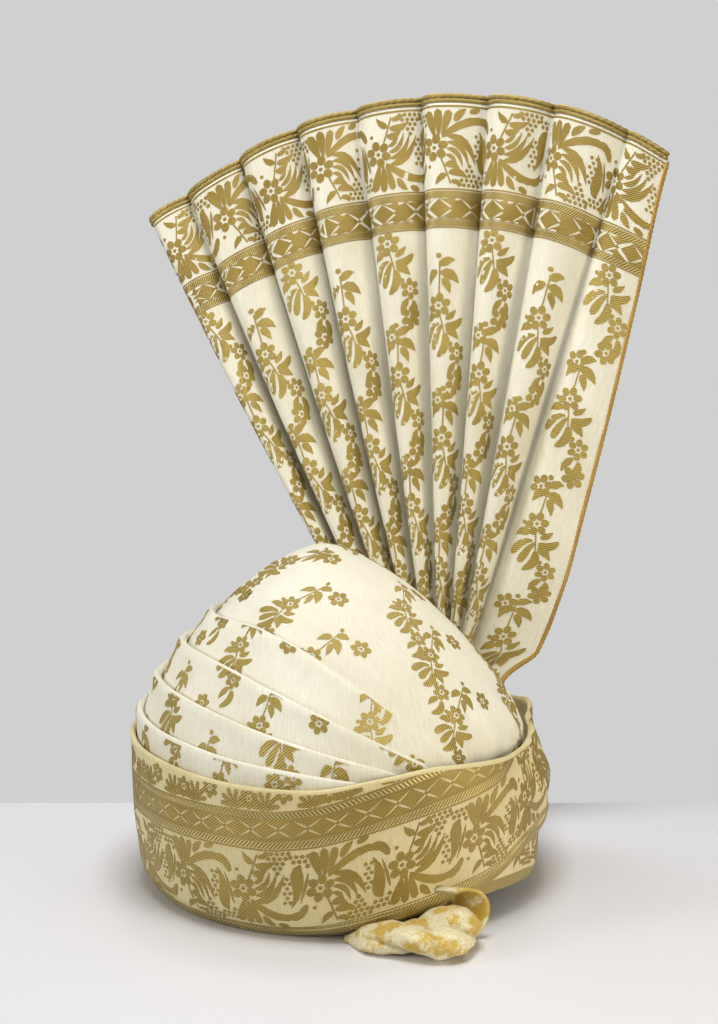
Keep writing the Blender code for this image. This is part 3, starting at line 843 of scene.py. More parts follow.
@dataclass(frozen=True)
class SilkGround:
    """Plain-woven silk: crossed threads, slubs, a soft sheen and a slow change of colour."""

    name: str
    light: tuple[float, float, float]
    shade: tuple[float, float, float]
    thread: float = 0.7 * MM
    roughness: float = 0.52
    sheen: float = 0.25
    metal: float = 0.0

    def material(self) -> bpy.types.Material:
        """Makes the material."""
        board = NodeBoard(self.name)
        warp = board.ribs(self.thread, 0.0, 0.6)
        weft = board.ribs(self.thread * 0.86, 90.0, 0.6)
        slubs = board.node("TexNoise", Scale=900.0, Detail=2.0)
        stretch = board.node("Mapping")
        stretch.inputs["Scale"].default_value = (1.0, 0.12, 1.0)
        board.join(board.cloth_place(), stretch.inputs["Vector"])
        board.join(stretch.outputs["Vector"], slubs.inputs["Vector"])
        colour = board.between(board.cloud(0.05), self.shade, self.light, 0.30, 0.66)
        threads = board.between(warp, (0.90, 0.89, 0.84), (1, 1, 1))
        colour = board.times(colour, threads, 0.8)
        slub = board.between(slubs.outputs["Fac"], (0.90, 0.89, 0.85), (1, 1, 1), 0.3, 0.7)
        colour = board.times(colour, slub)
        board.raised([(board.cloud(0.012, 4.0), 0.25, 0.0006), (board.cloud(0.0022, 3.0), 0.40, 0.00035),
                      (warp, 0.35, 0.00012), (weft, 0.35, 0.00012)])
        return board.finish(colour, self.roughness, self.metal, self.sheen, (1.0, 0.97, 0.88))


@dataclass(frozen=True)
class GoldThread:
    """Metal thread woven in slanting ribs, bright on each rib and deep between."""

    name: str
    bright: tuple[float, float, float]
    deep: tuple[float, float, float]
    pitch: float = 1.15 * MM
    turn: float = 52.0
    roughness: float = 0.42
    metal: float = 0.45

    def material(self) -> bpy.types.Material:
        """Makes the material."""
        board = NodeBoard(self.name)
        rib = board.ribs(self.pitch, self.turn, 0.4)
        thread = board.ribs(0.5 * MM, self.turn + 90.0, 0.8)
        colour = board.between(rib, self.deep, self.bright, 0.12, 0.75)
        patches = board.between(board.cloud(0.03), (0.78, 0.76, 0.70), (1, 1, 1), 0.3, 0.62)
        colour = board.times(colour, patches)
        colour = board.times(colour, board.between(thread, (0.88, 0.86, 0.80), (1, 1, 1)), 0.7)
        board.raised([(rib, 0.6, 0.00030), (thread, 0.3, 0.00010)])
        return board.finish(colour, self.roughness, self.metal, 0.10, (1.0, 0.9, 0.6))


@dataclass(frozen=True)
class ShotSilk:
    """Cream silk shot through with gold thread in soft, broken patches."""

    cream: tuple[float, float, float] = (0.86, 0.80, 0.58)
    gold: tuple[float, float, float] = (0.66, 0.47, 0.10)

    def material(self) -> bpy.types.Material:
        """Makes the material."""
        board = NodeBoard("shot_silk")
        rib = board.ribs(0.9 * MM, 52.0, 0.8)
        patches = board.cloud(0.011, 4.0)
        grain = board.between(board.cloud(0.0016, 2.0), (0.80, 0.76, 0.62), (1, 1, 1), 0.35, 0.65)
        colour = board.between(patches, self.cream, self.gold, 0.47, 0.56)
        colour = board.times(colour, board.between(rib, (0.72, 0.66, 0.48), (1, 1, 1), 0.1, 0.8), 0.7)
        colour = board.times(colour, grain, 0.8)
        board.raised([(board.cloud(0.006, 3.0), 0.35, 0.0007), (rib, 0.35, 0.0002)])
        return board.finish(colour, 0.5, 0.1, 0.2, (1.0, 0.95, 0.8))


class Finishes:
    """Every cloth and thread of the turban, each made once."""

    def __init__(self) -> None:
        """Makes the materials."""
        self.silk = SilkGround("cream_silk", (0.86, 0.84, 0.74), (0.78, 0.75, 0.62)).material()
        self.band_silk = SilkGround("band_silk", (0.76, 0.66, 0.38), (0.66, 0.56, 0.29)).material()
        self.shot_silk = ShotSilk().material()
        self.gold = GoldThread(
            "gold_figure", (0.50, 0.36, 0.075), (0.20, 0.135, 0.020), metal=0.25).material()
        self.field_gold = GoldThread(
            "field_gold", (0.56, 0.43, 0.11), (0.28, 0.20, 0.040), metal=0.25).material()
        twill = ((0.62, 0.50, 0.19), (0.20, 0.14, 0.03), 1.5 * MM)
        self.rope = GoldThread("rope_twill", *twill, 42.0).material()
        self.rope_back = GoldThread("rope_twill_back", *twill, -42.0).material()
        strand = (0.9 * MM, 30.0)
        self.hem = GoldThread("hem_cord", (0.66, 0.42, 0.10), (0.30, 0.17, 0.03), *strand).material()
        self.cord = GoldThread("edging_cord", (0.56, 0.44, 0.15), (0.25, 0.18, 0.04), *strand).material()


def dress(piece: bpy.types.Object, finish: bpy.types.Material, slot: str, *nodes: str) -> bpy.types.Object:
    """Gives a piece its finish and its place in the frame.

    Args:
        piece: the piece.
        finish: its material.
        slot: not used.
        nodes: the solids that it stands for.

    Returns:
        The same piece.
    """
    if not piece.data.materials:
        piece.data.materials.append(finish)
    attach(piece, "root")
    if nodes:
        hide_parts(*nodes)
    LOG.info("%s: %d faces", piece.name, len(piece.data.polygons))
    return piece


def paint_low(piece: bpy.types.Object, finish: bpy.types.Material, low: Callable[[Grid], Grid], height: float,
              form: HeadForm) -> None:
    """Gives the faces near a cloth's lower edge another finish.

    Args:
        piece: the cloth.
        finish: the finish for its band.
        low: gives the lower edge's place at an angle.
        height: how far up the band reaches.
        form: the outline that the cloth is offset from.
    """
    piece.data.materials.append(finish)
    centres = np.zeros(len(piece.data.polygons) * 3)
    piece.data.polygons.foreach_get("center", centres)
    at = centres.reshape(-1, 3) - form.axis
    edge = form.height_at(low(np.arctan2(at[:, 1] / form.oval, at[:, 0])))
    piece.data.polygons.foreach_set("material_index", (at[:, 2] < edge + height).astype(np.int32))


def merge_points(piece: bpy.types.Object, distance: float = 0.00001) -> None:
    """Joins points that meet, as at the crown's tip, and drops faces with no area."""
    with opened(piece) as shape:
        bmesh.ops.remove_doubles(shape, verts=shape.verts, dist=distance)
    piece.data.shade_smooth()


@dataclass
class Turn:
    """One cloth that goes round the head: the crown's dome or a turn wound over it.

    Attributes:
        name: the piece's name and its node's.
        form: the outline that it is offset from.
        inner: where its inside lies, out from the crown's outside.
        wall: its thickness.
    """

    name: str
    form: HeadForm
    inner: float
    wall: float
    columns: int = 264
    outer_rows: int = 30
    inner_rows: int = 8
    edge_rows: int = 3

    def low(self, angle: Grid) -> Grid:
        """Place of the lower edge."""
        return self.form.place_at(self.form.lower_edge(angle))

    def top(self, angle: Grid) -> Grid:
        """Place of the upper edge."""
        raise NotImplementedError

    def relief(self, angle: Grid, place: Grid) -> Grid:
        """How far the outer side stands out from its even form."""
        return np.zeros_like(place)

    def shift(self, angle: Grid, place: Grid) -> Grid:
        """How far the whole cloth stands out from its even form."""
        return np.zeros_like(place)

    def outside(self, angle: Grid, place: Grid, lift: Grid) -> Grid:
        """Points at this lift off the cloth's outer side."""
        offset = self.inner + self.wall + self.shift(angle, place) + self.relief(angle, place) + lift
        return self.form.point(angle, place, offset)

    def angles(self, count: int) -> Grid:
        """Even angles round the head, starting at the left."""
        return -math.pi + 2 * math.pi * np.arange(count) / self.columns

    def build(self) -> bpy.types.Object:
        """Makes the cloth: up its outside, over its edge and down its inside."""
        angle = self.angles(self.columns)[:, None]
        low, top = self.low(angle), self.top(angle)
        rise = np.linspace(0, 1, self.outer_rows)
        place = low + (top - low) * rise
        bend = np.pi * np.arange(1, self.edge_rows + 1) / (self.edge_rows + 1)
        fall = np.linspace(1, 0, self.inner_rows)
        out = self.inner + self.wall + self.shift(angle, place) + self.relief(angle, place)
        top_out, top_in = out[:, -1:], self.inner + self.shift(angle, top)
        middle, half = (top_out + top_in) / 2, (top_out - top_in) / 2
        edge_place = top + half * np.sin(bend)
        edge_out = middle + half * np.cos(bend)
        inside_place = top + (low - top) * (1 - fall)
        inside = self.inner + self.shift(angle, inside_place)
        places = np.concatenate([place, edge_place, inside_place], axis=1)
        offsets = np.concatenate([out, edge_out, inside], axis=1)
        points = self.form.point(np.broadcast_to(angle, places.shape), places, offsets)
        return loft(self.name + "_cloth", points, self.map_places(places), closed=True)

    def map_places(self, places: Grid) -> Grid:
        """The cloth map for a grid of places: one column and one row more than it."""
        length = np.concatenate([places, places[:, :1]], axis=1)
        length = np.concatenate([length, length[:1]], axis=0)
        angle = self.angles(self.columns + 1)[:, None] + np.zeros_like(length)
        return self.flatten(angle, length)

    def flatten(self, angle: Grid, place: Grid) -> Grid:
        """The cloth map's place for an angle and a place up the outline."""
        return np.stack([angle * self.form.radius, np.asarray(place, float)], axis=-1)

    def spread(self, angle: float, place: float, offsets: Grid) -> Grid:
        """Cloth coordinates of millimetres measured from an anchor."""
        reached = place + offsets[..., 1] * MM
        radius = np.maximum(self.form.radius_at(reached) + self.inner, 16 * MM)
        return np.stack([angle + offsets[..., 0] * MM / radius, reached], axis=-1)

    def covered(self, angle: Grid) -> Grid:
        """The lowest place that shows above the cloths over this one."""
        return self.low(angle)

    def face(self) -> Face:
        """The cloth's outer side, for weaving on."""
        return Face(self.outside, self.spread, self.flatten, lambda angle: self.top(angle) - 0.3 * MM,
                    lambda angle: self.covered(angle) - 3 * MM)

    def place_above(self, angle: Grid, above: Grid) -> Grid:
        """The place this far above the lower edge."""
        return self.low(angle) + above

    def band_face(self) -> Face:
        """The outer side with its second coordinate measured from the lower edge."""
        return Face(
            lambda angle, above, lift: self.outside(angle, self.place_above(angle, above), lift),
            lambda angle, above, offsets: np.stack(
                [angle + offsets[..., 0] * MM / (self.form.radius + self.inner),
                 above + offsets[..., 1] * MM], axis=-1),
            lambda angle, above: self.flatten(angle, above),
            lambda angle: self.top(angle) - self.low(angle) - 0.3 * MM,
        )

    def weave_ropes(self, finish: bpy.types.Material, rows: Sequence[tuple[float, float]],
                    name: str, reach: tuple[float, float] = (-180.0, 180.0)) -> bpy.types.Object:
        """Lays twilled rows round the band, whose ribs slant one way.

        Args:
            finish: the twill that they are woven in.
            rows: lower and upper line of each row, in millimetres above the lower edge.
            name: the piece's name.
            reach: first and last angle in degrees.

        Returns:
            The woven piece.
        """
        weaver = Weaver(self.band_face(), across=3)
        ring = self.angles(self.columns + 1)
        ring = ring[(ring >= math.radians(reach[0])) & (ring <= math.radians(reach[1]) + 1e-6)]
        for low, high in rows:
            weaver.strip(ring, low * MM, high * MM)
        return weaver.build(name, finish)

    def cut(self) -> tuple[tuple[float, float], float]:
        """The flat size that the cloth was cut to.

        Returns:
            Its width and length in metres, and its flat area.
        """
        angle = self.angles(self.columns)
        low, top = self.low(angle), self.top(angle)
        share = np.linspace(0, 1, 40)
        places = low[:, None] + (top - low)[:, None] * share
        radii = self.form.radius_at(places) + self.inner + self.wall / 2
        area = float((radii.mean(axis=1) * (top - low)).sum() * 2 * math.pi / self.columns)
        width = 2 * math.pi * (self.form.radius + self.inner + self.wall / 2)
        return (width, float((top - low).max())), area

    def weave(self, brocade: Brocade, finish: bpy.types.Material, scale: float = 0.70,
              lean: float = 0.0, start: float = 0.0) -> bpy.types.Object:
        """Sprinkles sprigs and single flowers over what shows of the cloth.

        Args:
            brocade: the woven figures.
            finish: their material.
            scale: their size against the fan's.
            lean: how far the sprigs lean to the right, in radians.
            start: shifts them round the head, in radians.

        Returns:
            The woven piece.
        """
        weaver = Weaver(self.face())
        sprig, flower = brocade.sprig().outlines(scale=scale), brocade.flower().outlines(scale=scale)
        drop = brocade.sprig_drop * scale * MM / 2
        pitch = brocade.sprig_pitch * 2 * scale * MM
        highest = float(self.top(np.linspace(-math.pi, math.pi, 60)).max())
        step_up = 1.24 * drop
        for row in range(int((highest + drop) / step_up) + 1):
            place = row * step_up
            around = 2 * math.pi * max(float(self.form.radius_at(min(place, highest))) + self.inner, 8 * MM)
            count = max(1, round(around / pitch))
            for step in range(count):
                angle = -math.pi + start + 2 * math.pi * (step + 0.5 * (row % 2)) / count
                angle = (angle + math.pi) % (2 * math.pi) - math.pi
                drift = 4 * MM * math.sin(3.1 * row + 1.7 * step)
                weaver.lay(sprig, angle, place + drift, lean)
                aside = pitch / max(around / (2 * math.pi), 16 * MM)
                weaver.lay(flower, angle + 0.46 * aside, place + drift + 0.30 * drop, lean)
        return weaver.build(self.name + "_sprigs", finish)


@dataclass
class Crown(Turn):
    """The pointed dome, gathered where it goes under the border turn at the front right."""

    outer_rows: int = 64
    inner_rows: int = 30
    edge_rows: int = 0
    gather_depth: float = 1.3 * MM
    gathers: float = 30.0
    cover: Callable[[Grid], Grid] | None = None

    def top(self, angle: Grid) -> Grid:
        """Place of the tip."""
        return np.full_like(angle, self.form.lengths[-1])

    def covered(self, angle: Grid) -> Grid:
        """The lowest place that shows above the wraps and the border turn."""
        return np.maximum(self.cover(angle), self.form.place_at(self.form.border_top(angle)))

    def relief(self, angle: Grid, place: Grid) -> Grid:
        """Gathers above the border turn, and slow creases."""
        above = self.form.height_at(place) - self.form.border_top(angle)
        close = smoothstep(-4 * MM, 4 * MM, above) * (1 - smoothstep(5 * MM, 52 * MM, above))
        where = hump(math.radians(-28), math.radians(58), angle)
        folds = np.sin(self.gathers * angle + 60 * above + 1.5 * np.sin(7 * angle))
        soft = wrinkles(angle * 0.11, place, 0.075, 1.3) * 0.5 * MM
        fade = 1 - smoothstep(self.form.lengths[-1] - 40 * MM, self.form.lengths[-1] - 4 * MM, place)
        return self.gather_depth * close * where * folds + soft * smoothstep(0, 6 * MM, above) * fade

    def build(self) -> bpy.types.Object:
        """Makes the dome and closes its tip."""
        piece = super().build()
        merge_points(piece)
        return piece


@dataclass
class Wrap(Turn):
    """A diagonal wrap with a rolled fold along its upper edge.

    Attributes:
        rise: height of the fold at the left, as a share of the crown over the border.
        crossing: angle in degrees where it comes down to the border's height at the front.
        power: how sharply the fold curves down.
        cover: place of the upper edge of the cloth that lies over this one.
    """

    rise: float = 0.5
    crossing: float = -60.0
    power: float = 2.0
    cover: Callable[[Grid], Grid] | None = None
    seed: float = 0.0
    rear_crossing: float = 84.0
    rear_power: float = 1.5
    tuck_rate: float = 3.0
    roll: float = 0.9 * MM
    band_units: int = 7
    band_start: float = math.radians(-82)

    def top_height(self, angle: Grid) -> Grid:
        """Height of the folded edge, or of the tucked end under the border turn."""
        form = self.form
        rim = form.border_top(angle)
        tuck = form.tuck_depth * form.turn_share(5, angle)
        front = np.asarray(angle) <= 0
        crossing = np.where(front, math.radians(self.crossing), math.radians(self.rear_crossing))
        power = np.where(front, self.power, self.rear_power)
        share = (1 + np.cos(angle)) / (1 + np.cos(crossing))
        over = self.rise * (form.height - form.border_height) * (1 - share**power)
        over = over + form.border_height - rim
        over = np.where(over < 0, over * self.tuck_rate, over)
        return rim + np.maximum(over, -tuck)

    def top(self, angle: Grid) -> Grid:
        """Place of the folded edge."""
        return self.form.place_at(self.top_height(angle), self.inner + self.wall)

    def covered(self, angle: Grid) -> Grid:
        """The lowest place that shows above the next cloth."""
        return self.cover(angle)

    def weave_under_band(self, brocade: Brocade, finish: bpy.types.Material) -> bpy.types.Object:
        """Weaves the flowers that show under the border turn's lifted edge, at the right.

        Args:
            brocade: the woven figures.
            finish: their material.

        Returns:
            The woven piece.
        """
        weaver = Weaver(self.band_face(), across=3)
        step = brocade.unit * MM / (self.form.radius + self.inner)
        figures = brocade.flower_pair(brocade.turn_figures)
        for k in range(self.band_units):
            foot = brocade.turn_head if k % 2 else brocade.turn_foot
            weaver.lay(figures[k % 2], self.band_start + k * step, foot * MM)
        return weaver.build(self.name + "_figures", finish)

    def relief(self, angle: Grid, place: Grid) -> Grid:
        """A rolled fold at the edge and creases along it, where no other cloth covers them."""
        below = self.top(angle) - place
        bare = smoothstep(-1 * MM, 5 * MM, place - self.cover(angle))
        fold = self.roll * (1 - smoothstep(1.0 * MM, 9 * MM, below))
        drift = below + 5 * MM * np.sin(2.3 * angle + self.seed)
        creases = 0.35 * MM * np.sin(drift / (5.5 * MM) + self.seed) * hump(-1.2, 1.6, angle)
        soft = 0.45 * MM * wrinkles(angle * 0.11, place, 0.06, self.seed)
        return bare * (fold + creases + soft)


@dataclass
class BorderTurn(Turn):
    """The broad gold-bordered turn, with a corded lower edge and gathers at the right."""

    outer_rows: int = 56
    inner_rows: int = 22
    edge_rows: int = 5
    columns: int = 320
    selvedge: float = 7.4 * MM
    cord_rise: float = 1.1 * MM
    cell: tuple[float, float] = (15.5, 9.4)
    lattice_middle: float = 64.6
    lines: Table = ((7.7, 8.3), (53.4, 54.3), (58.2, 59.2), (70.2, 70.8), (73.8, 74.6))

    def low(self, angle: Grid) -> Grid:
        """Place of the lower edge."""
        return self.form.place_at(self.form.border_foot(angle))

    def top(self, angle: Grid) -> Grid:
        """Place of the upper edge."""
        return self.form.place_at(self.form.border_top(angle), self.inner + self.wall)

    def shift(self, angle: Grid, place: Grid) -> Grid:
        """Leans in over the wraps and swells over the fan's root."""
        form, height = self.form, self.form.height_at(place)
        rim = form.border_top(angle)
        lean = (form.border_offset - form.ply_gap) * form.turn_share(3, angle)
        swell = form.pocket * form.turn_share(4, angle)
        lean_share = smoothstep(0.0, 1.0, (height - rim + form.shoulder) / form.shoulder)
        return swell * smoothstep(0.0, 0.42 * form.border_height, height) - lean * lean_share

    def relief(self, angle: Grid, place: Grid) -> Grid:
        """The corded lower edge, a rolled upper edge, and gathers at the right."""
        above, below = place - self.low(angle), self.top(angle) - place
        cord = self.cord_rise * np.sqrt(np.maximum(1 - ((above / self.selvedge) * 2 - 1) ** 2, 0))
        fold = 0.8 * MM * (1 - smoothstep(1.0 * MM, 8 * MM, below))
        right = hump(math.radians(12), math.radians(62), angle)
        run = angle * 0.115 + 0.35 * above
        gathers = right * 1.3 * MM * np.sin(run / (4.6 * MM) + 1.4 * np.sin(above / (16 * MM)))
        soft = 0.5 * MM * wrinkles(angle * 0.11, place, 0.07, 4.2)
        return cord + fold + (gathers + soft) * smoothstep(3 * MM, 12 * MM, above)

    def weave_figures(self, brocade: Brocade, finish: bpy.types.Material) -> bpy.types.Object:
        """Weaves the band's flowers, with sprigs that stand on its lattice.

        Args:
            brocade: the woven figures.
            finish: their material.

        Returns:
            The woven piece.
        """
        weaver = Weaver(self.band_face(), across=3)
        units = 2 * round(math.pi * (self.form.radius + self.inner) / (brocade.unit * MM))
        figures = brocade.flower_pair(brocade.turn_figures)
        leaves, bud = brocade.leaf_fan().outlines(scale=0.8), brocade.flower(3.4).outlines()
        for k in range(units):
            angle = -math.pi + 2 * math.pi * k / units
            weaver.lay(figures[k % 2], angle, (brocade.turn_head if k % 2 else brocade.turn_foot) * MM)
            for share in (0.20, 0.62):
                weaver.lay(leaves, angle + share * 2 * math.pi / units, 74.6 * MM)
            weaver.lay(bud, angle + 0.41 * 2 * math.pi / units, 80.5 * MM)
            weaver.lay(bud, angle + 0.86 * 2 * math.pi / units, 83.0 * MM)
        self.weave_lattice(weaver, brocade)
        return weaver.build("border_turn_figures", finish)

    def weave_lattice(self, weaver: Weaver, brocade: Brocade) -> None:
        """Lays the lattice's diamonds and its plain lines over the flowers."""
        cells = brocade.diamonds(*self.cell).outlines()
        count = round(2 * math.pi * (self.form.radius + self.inner) / (self.cell[0] * MM))
        for k in range(count):
            weaver.lay(cells, -math.pi + 2 * math.pi * k / count, self.lattice_middle * MM)
        ring = self.angles(self.columns + 1)
        for low, high in self.lines:
            weaver.strip(ring, low * MM, high * MM)


@dataclass
class Fan:
    """The pleated fan, sewn with cords along its top and down its right side."""

    form: HeadForm
    radius: float = 432 * MM
    apex_x: float = 65 * MM
    apex_height: float = 45.5 * MM
    depth: float = 88 * MM
    yaw: float = math.radians(9)
    wall: float = 2.0 * MM
    pleat_depth: float = 20 * MM
    root_depth: float = 4 * MM
    flap_width: float = 34 * MM
    straight: float = 1.5
    bow: float = 7 * MM
    root_height: float = 50 * MM
    corner: float = 0.962
    per_pleat: int = 18
    per_flap: int = 18
    rows: int = 120
    cell: tuple[float, float] = (17.0, 12.5)
    lattice_drop: float = 67.4
    # lower and upper line of each plain and each twilled row, in millimetres below the top
    lines: Table = ((2.4, 1.2), (55.4, 54.4), (74.4, 73.8), (79.8, 79.0))
    ropes: Table = ((60.6, 56.0), (78.6, 74.8))
    # angle of each valley from the upright in degrees, top as a share of the radius
    valleys: Table = (
        (-28.2, 0.938),
        (-24.0, 0.947),
        (-18.4, 0.966),
        (-12.8, 0.984),
        (-7.4, 0.993),
        (-1.8, 0.999),
        (3.8, 1.000),
        (9.5, 0.996),
        (16.0, 0.980),
    )
    # place across one pleat, height as a share of its depth
    pleat: Table = (
        (0.00, 0.00), (0.03, 0.30), (0.07, 0.58), (0.14, 0.84), (0.24, 0.98), (0.34, 1.00),
        (0.50, 0.93), (0.66, 0.76), (0.80, 0.50), (0.92, 0.20), (1.00, 0.00),
    )
    # place across the plain panel, height as a share of a pleat's depth
    flap: Table = (
        (0.00, 0.00), (0.05, 0.26), (0.13, 0.50), (0.30, 0.68), (0.65, 0.62), (0.92, 0.42), (1.00, 0.36),
    )
    # share of the radius, depth of the pleats, width of the plain panel
    rise: Table = (
        (0.010, 0.00, 0.78),
        (0.070, 0.00, 0.78),
        (0.120, 0.04, 1.02),
        (0.175, 0.36, 1.24),
        (0.240, 0.66, 1.30),
        (0.320, 0.90, 1.30),
        (0.430, 1.10, 1.25),
        (0.580, 1.12, 1.17),
        (0.780, 0.80, 1.02),
        (1.000, 0.42, 0.84),
    )

    @property
    def pleats(self) -> int:
        """How many pleats there are beside the plain panel."""
        return len(self.valleys) - 1

    def lowest(self) -> float:
        """Reach of the root, tucked under the border turn."""
        return self.root_height - self.apex_height

    def point(self, s: Grid, reach: Grid, side: Grid) -> Grid:
        """Points of the fan.

        Args:
            s: place across: the pleat's number from the left, and the share of the way over it.
            reach: distance from the apex in metres, before the top's own curve.
            side: distance in front of the cloth's middle in metres.

        Returns:
            Points in the frame.
        """
        s, reach, side = np.broadcast_arrays(*(np.asarray(a, float) for a in (s, reach, side)))
        valleys = np.array(self.valleys)
        number = np.clip(np.floor(s), 0, self.pleats)
        share = np.clip(s - number, 0.0, 1.0)
        on_flap = number >= self.pleats
        slope = np.radians(np.interp(s, np.arange(len(valleys)), valleys[:, 0]))
        top = np.where(on_flap, valleys[-1, 1] + share * (self.corner - valleys[-1, 1]),
                       np.interp(s, np.arange(len(valleys)), valleys[:, 1]))
        panel = np.where(on_flap, share, 0.0)
        fold = np.where(on_flap, read_table(self.flap, 1, share), read_table(self.pleat, 1, share))
        share_up = reach / self.radius
        depth = self.root_depth + (self.pleat_depth - self.root_depth) * read_table(self.rise, 1, share_up)
        flap = self.flap_width * read_table(self.rise, 2, share_up)
        sway = np.sin(2.4 * number + 5.0 * share_up) * smoothstep(0.25, 0.6, share_up)
        slope = slope + np.where(on_flap, 0.0, math.radians(0.28) * sway * np.sin(np.pi * share))
        depth = depth * (1 + 0.10 * np.sin(1.9 * number + 3.1 * share_up))
        reach = reach * (1 - (1 - top) * share_up)
        exit_reach = self.form.border_height + self.form.border_rise - self.apex_height
        upright = smoothstep(exit_reach, 3 * exit_reach, reach)
        across = self.apex_x + np.maximum(reach, exit_reach) * np.sin(slope)
        across = across + panel * flap * np.cos(slope * upright)
        along = np.clip(np.maximum(reach - exit_reach, 0.0) / (self.radius - exit_reach), 0.0, 1.0)
        leftward = np.maximum(slope / math.radians(self.valleys[0][0]), 0.0)
        across = across - 4 * self.bow * leftward * along * (1 - along)
        up = self.apex_height + reach * np.cos(slope * upright) - panel * flap * np.sin(slope * upright)
        tucked = self.apex_x + exit_reach * np.sin(slope) + panel * self.flap_width * self.rise[0][2]
        pocket = self.form.border_offset + (self.root_depth + self.form.fan_wall + self.form.ply_gap / 2) / 2
        round_angle = np.arccos(np.minimum(tucked / (self.form.radius + pocket), 1.0))
        blend = smoothstep(exit_reach, self.straight * exit_reach, reach)[..., None]
        root = np.stack([np.cos(round_angle), np.sin(round_angle)], axis=-1)
        flat = np.array([math.sin(self.yaw), math.cos(self.yaw)])
        facing = root + (flat - root) * blend
        facing = facing / np.linalg.norm(facing, axis=-1, keepdims=True)
        straight = np.stack([across, self.depth - math.tan(self.yaw) * (across - self.apex_x)], axis=-1)
        held = np.minimum(up, self.form.border_height + self.form.border_rise)
        mouth = self.form.point(round_angle, self.form.place_at(held, pocket), pocket)[..., :2]
        mouth = mouth - self.form.axis[:2]
        middle = mouth * (1 - blend) + straight * blend
        at = middle + facing * (depth * (0.5 - fold) - side)[..., None]
        return np.concatenate([at, up[..., None]], axis=-1) + self.form.axis

    def relief(self, s: Grid, reach: Grid) -> Grid:
        """Slow creases in the cloth."""
        return 0.35 * MM * wrinkles(s * 0.02, reach, 0.06, 2.2)

    def outside(self, s: Grid, reach: Grid, lift: Grid) -> Grid:
        """Points at this lift off the fan's front."""
        return self.point(s, reach, self.wall / 2 + self.relief(s, reach) + lift)

    def columns(self) -> Grid:
        """Places across for the columns of points."""
        parts = [np.linspace(k, k + 1, self.per_pleat, endpoint=False) for k in range(self.pleats)]
        return np.concatenate([*parts, np.linspace(self.pleats, self.pleats + FLAP_END, self.per_flap)])

    def arc_table(self, reach: float) -> tuple[Grid, Grid]:
        """Places across and the cloth's length up to each, at this reach."""
        s = np.linspace(0, self.pleats + FLAP_END, 900)
        line = self.outside(s, np.full_like(s, reach), np.zeros_like(s))
        return s, run_length(line)

    def flatten(self, s: Grid, reach: Grid) -> Grid:
        """The cloth map's place for a place across and a reach."""
        across, length = self.arc_table(self.radius)
        return np.stack([np.interp(s, across, length), np.asarray(reach, float)], axis=-1)

    def spread(self, s: float, reach: float, offsets: Grid) -> Grid:
        """Cloth coordinates of millimetres measured from an anchor."""
        across, length = self.arc_table(reach)
        start = float(np.interp(s, across, length))
        return np.stack([np.interp(start + offsets[..., 0] * MM, length, across),
                         reach + offsets[..., 1] * MM], axis=-1)

    def behind(self, s: Grid, reach: Grid, lift: Grid) -> Grid:
        """Points at this lift off the fan's back."""
        return self.point(s, reach, -self.wall / 2 - lift)

    def face(self, front: bool = True) -> Face:
        """The fan's front or back, for weaving on."""
        return Face(self.outside if front else self.behind, self.spread, self.flatten,
                    lambda s: np.full_like(s, self.radius - 0.4 * MM))

    @staticmethod
    def side_name(front: bool) -> str:
        """What the pieces on this side are called."""
        return "front" if front else "back"

    def down(self, drop: float) -> float:
        """The reach this many millimetres below the top."""
        return self.radius - drop * MM

    def weave_border(self, front: bool, brocade: Brocade, finish: bpy.types.Material) -> bpy.types.Object:
        """Weaves the flowers and the lattice under the fan's top edge.

        Args:
            front: whether they go on the front or on the back.
            brocade: the woven figures.
            finish: their material.

        Returns:
            The woven piece.
        """
        weaver = Weaver(self.face(front), across=3)
        across, length = self.arc_table(self.radius)
        units = round(length[-1] / (brocade.unit * (brocade.fan_figures / brocade.band) * MM))
        upright, hanging = brocade.flower_pair(brocade.fan_figures)
        for k in range(units):
            s = float(np.interp(length[-1] * (k + 0.04) / units, length, across))
            flipped = k % 2 == 0
            weaver.lay(hanging if flipped else upright, s, self.down(3.0) if flipped else self.down(53.5))
        cells = brocade.diamonds(*self.cell).outlines()
        count = round(length[-1] / (self.cell[0] * MM))
        for k in range(count):
            s = float(np.interp(length[-1] * (k + 0.5) / count, length, across))
            weaver.lay(cells, s, self.down(self.lattice_drop))
        for low, high in self.lines:
            weaver.strip(self.columns(), self.down(low), self.down(high))
        return weaver.build("fan_figures_" + self.side_name(front), finish)

    def weave_ropes(self, finish: bpy.types.Material, front: bool) -> bpy.types.Object:
        """Lays twilled rows above and below the lattice."""
        weaver = Weaver(self.face(front), across=3)
        for low, high in self.ropes:
            weaver.strip(self.columns(), self.down(low), self.down(high))
        return weaver.build("fan_ropes_" + self.side_name(front), finish)

    def weave_field(self, front: bool, brocade: Brocade, finish: bpy.types.Material) -> bpy.types.Object:
        """Weaves the sprigs below the lattice, in a column to each pleat.

        Args:
            front: whether they go on the front or on the back.
            brocade: the woven figures.
            finish: their material.

        Returns:
            The woven piece.
        """
        face = self.face(front)
        face.limit = lambda s: np.full_like(s, self.down(80.0))
        weaver = Weaver(face, across=3)
        sprig, flower = brocade.sprig().outlines(), brocade.flower().outlines()
        for pleat in range(self.pleats + 1):
            middle = pleat + (0.40 if pleat == self.pleats else 0.36)
            for row in range(5):
                reach = self.down(96.0 + brocade.sprig_drop * (row + 0.5 * (pleat % 2)))
                if reach < 60 * MM:
                    continue
                weaver.lay(sprig, middle + 0.05 * math.sin(2.3 * row + pleat), reach)
                weaver.lay(flower, middle + 0.32, reach - 40 * MM)
                weaver.lay(flower, middle - 0.12, reach - 52 * MM)
        return weaver.build("fan_sprigs_" + self.side_name(front), finish)

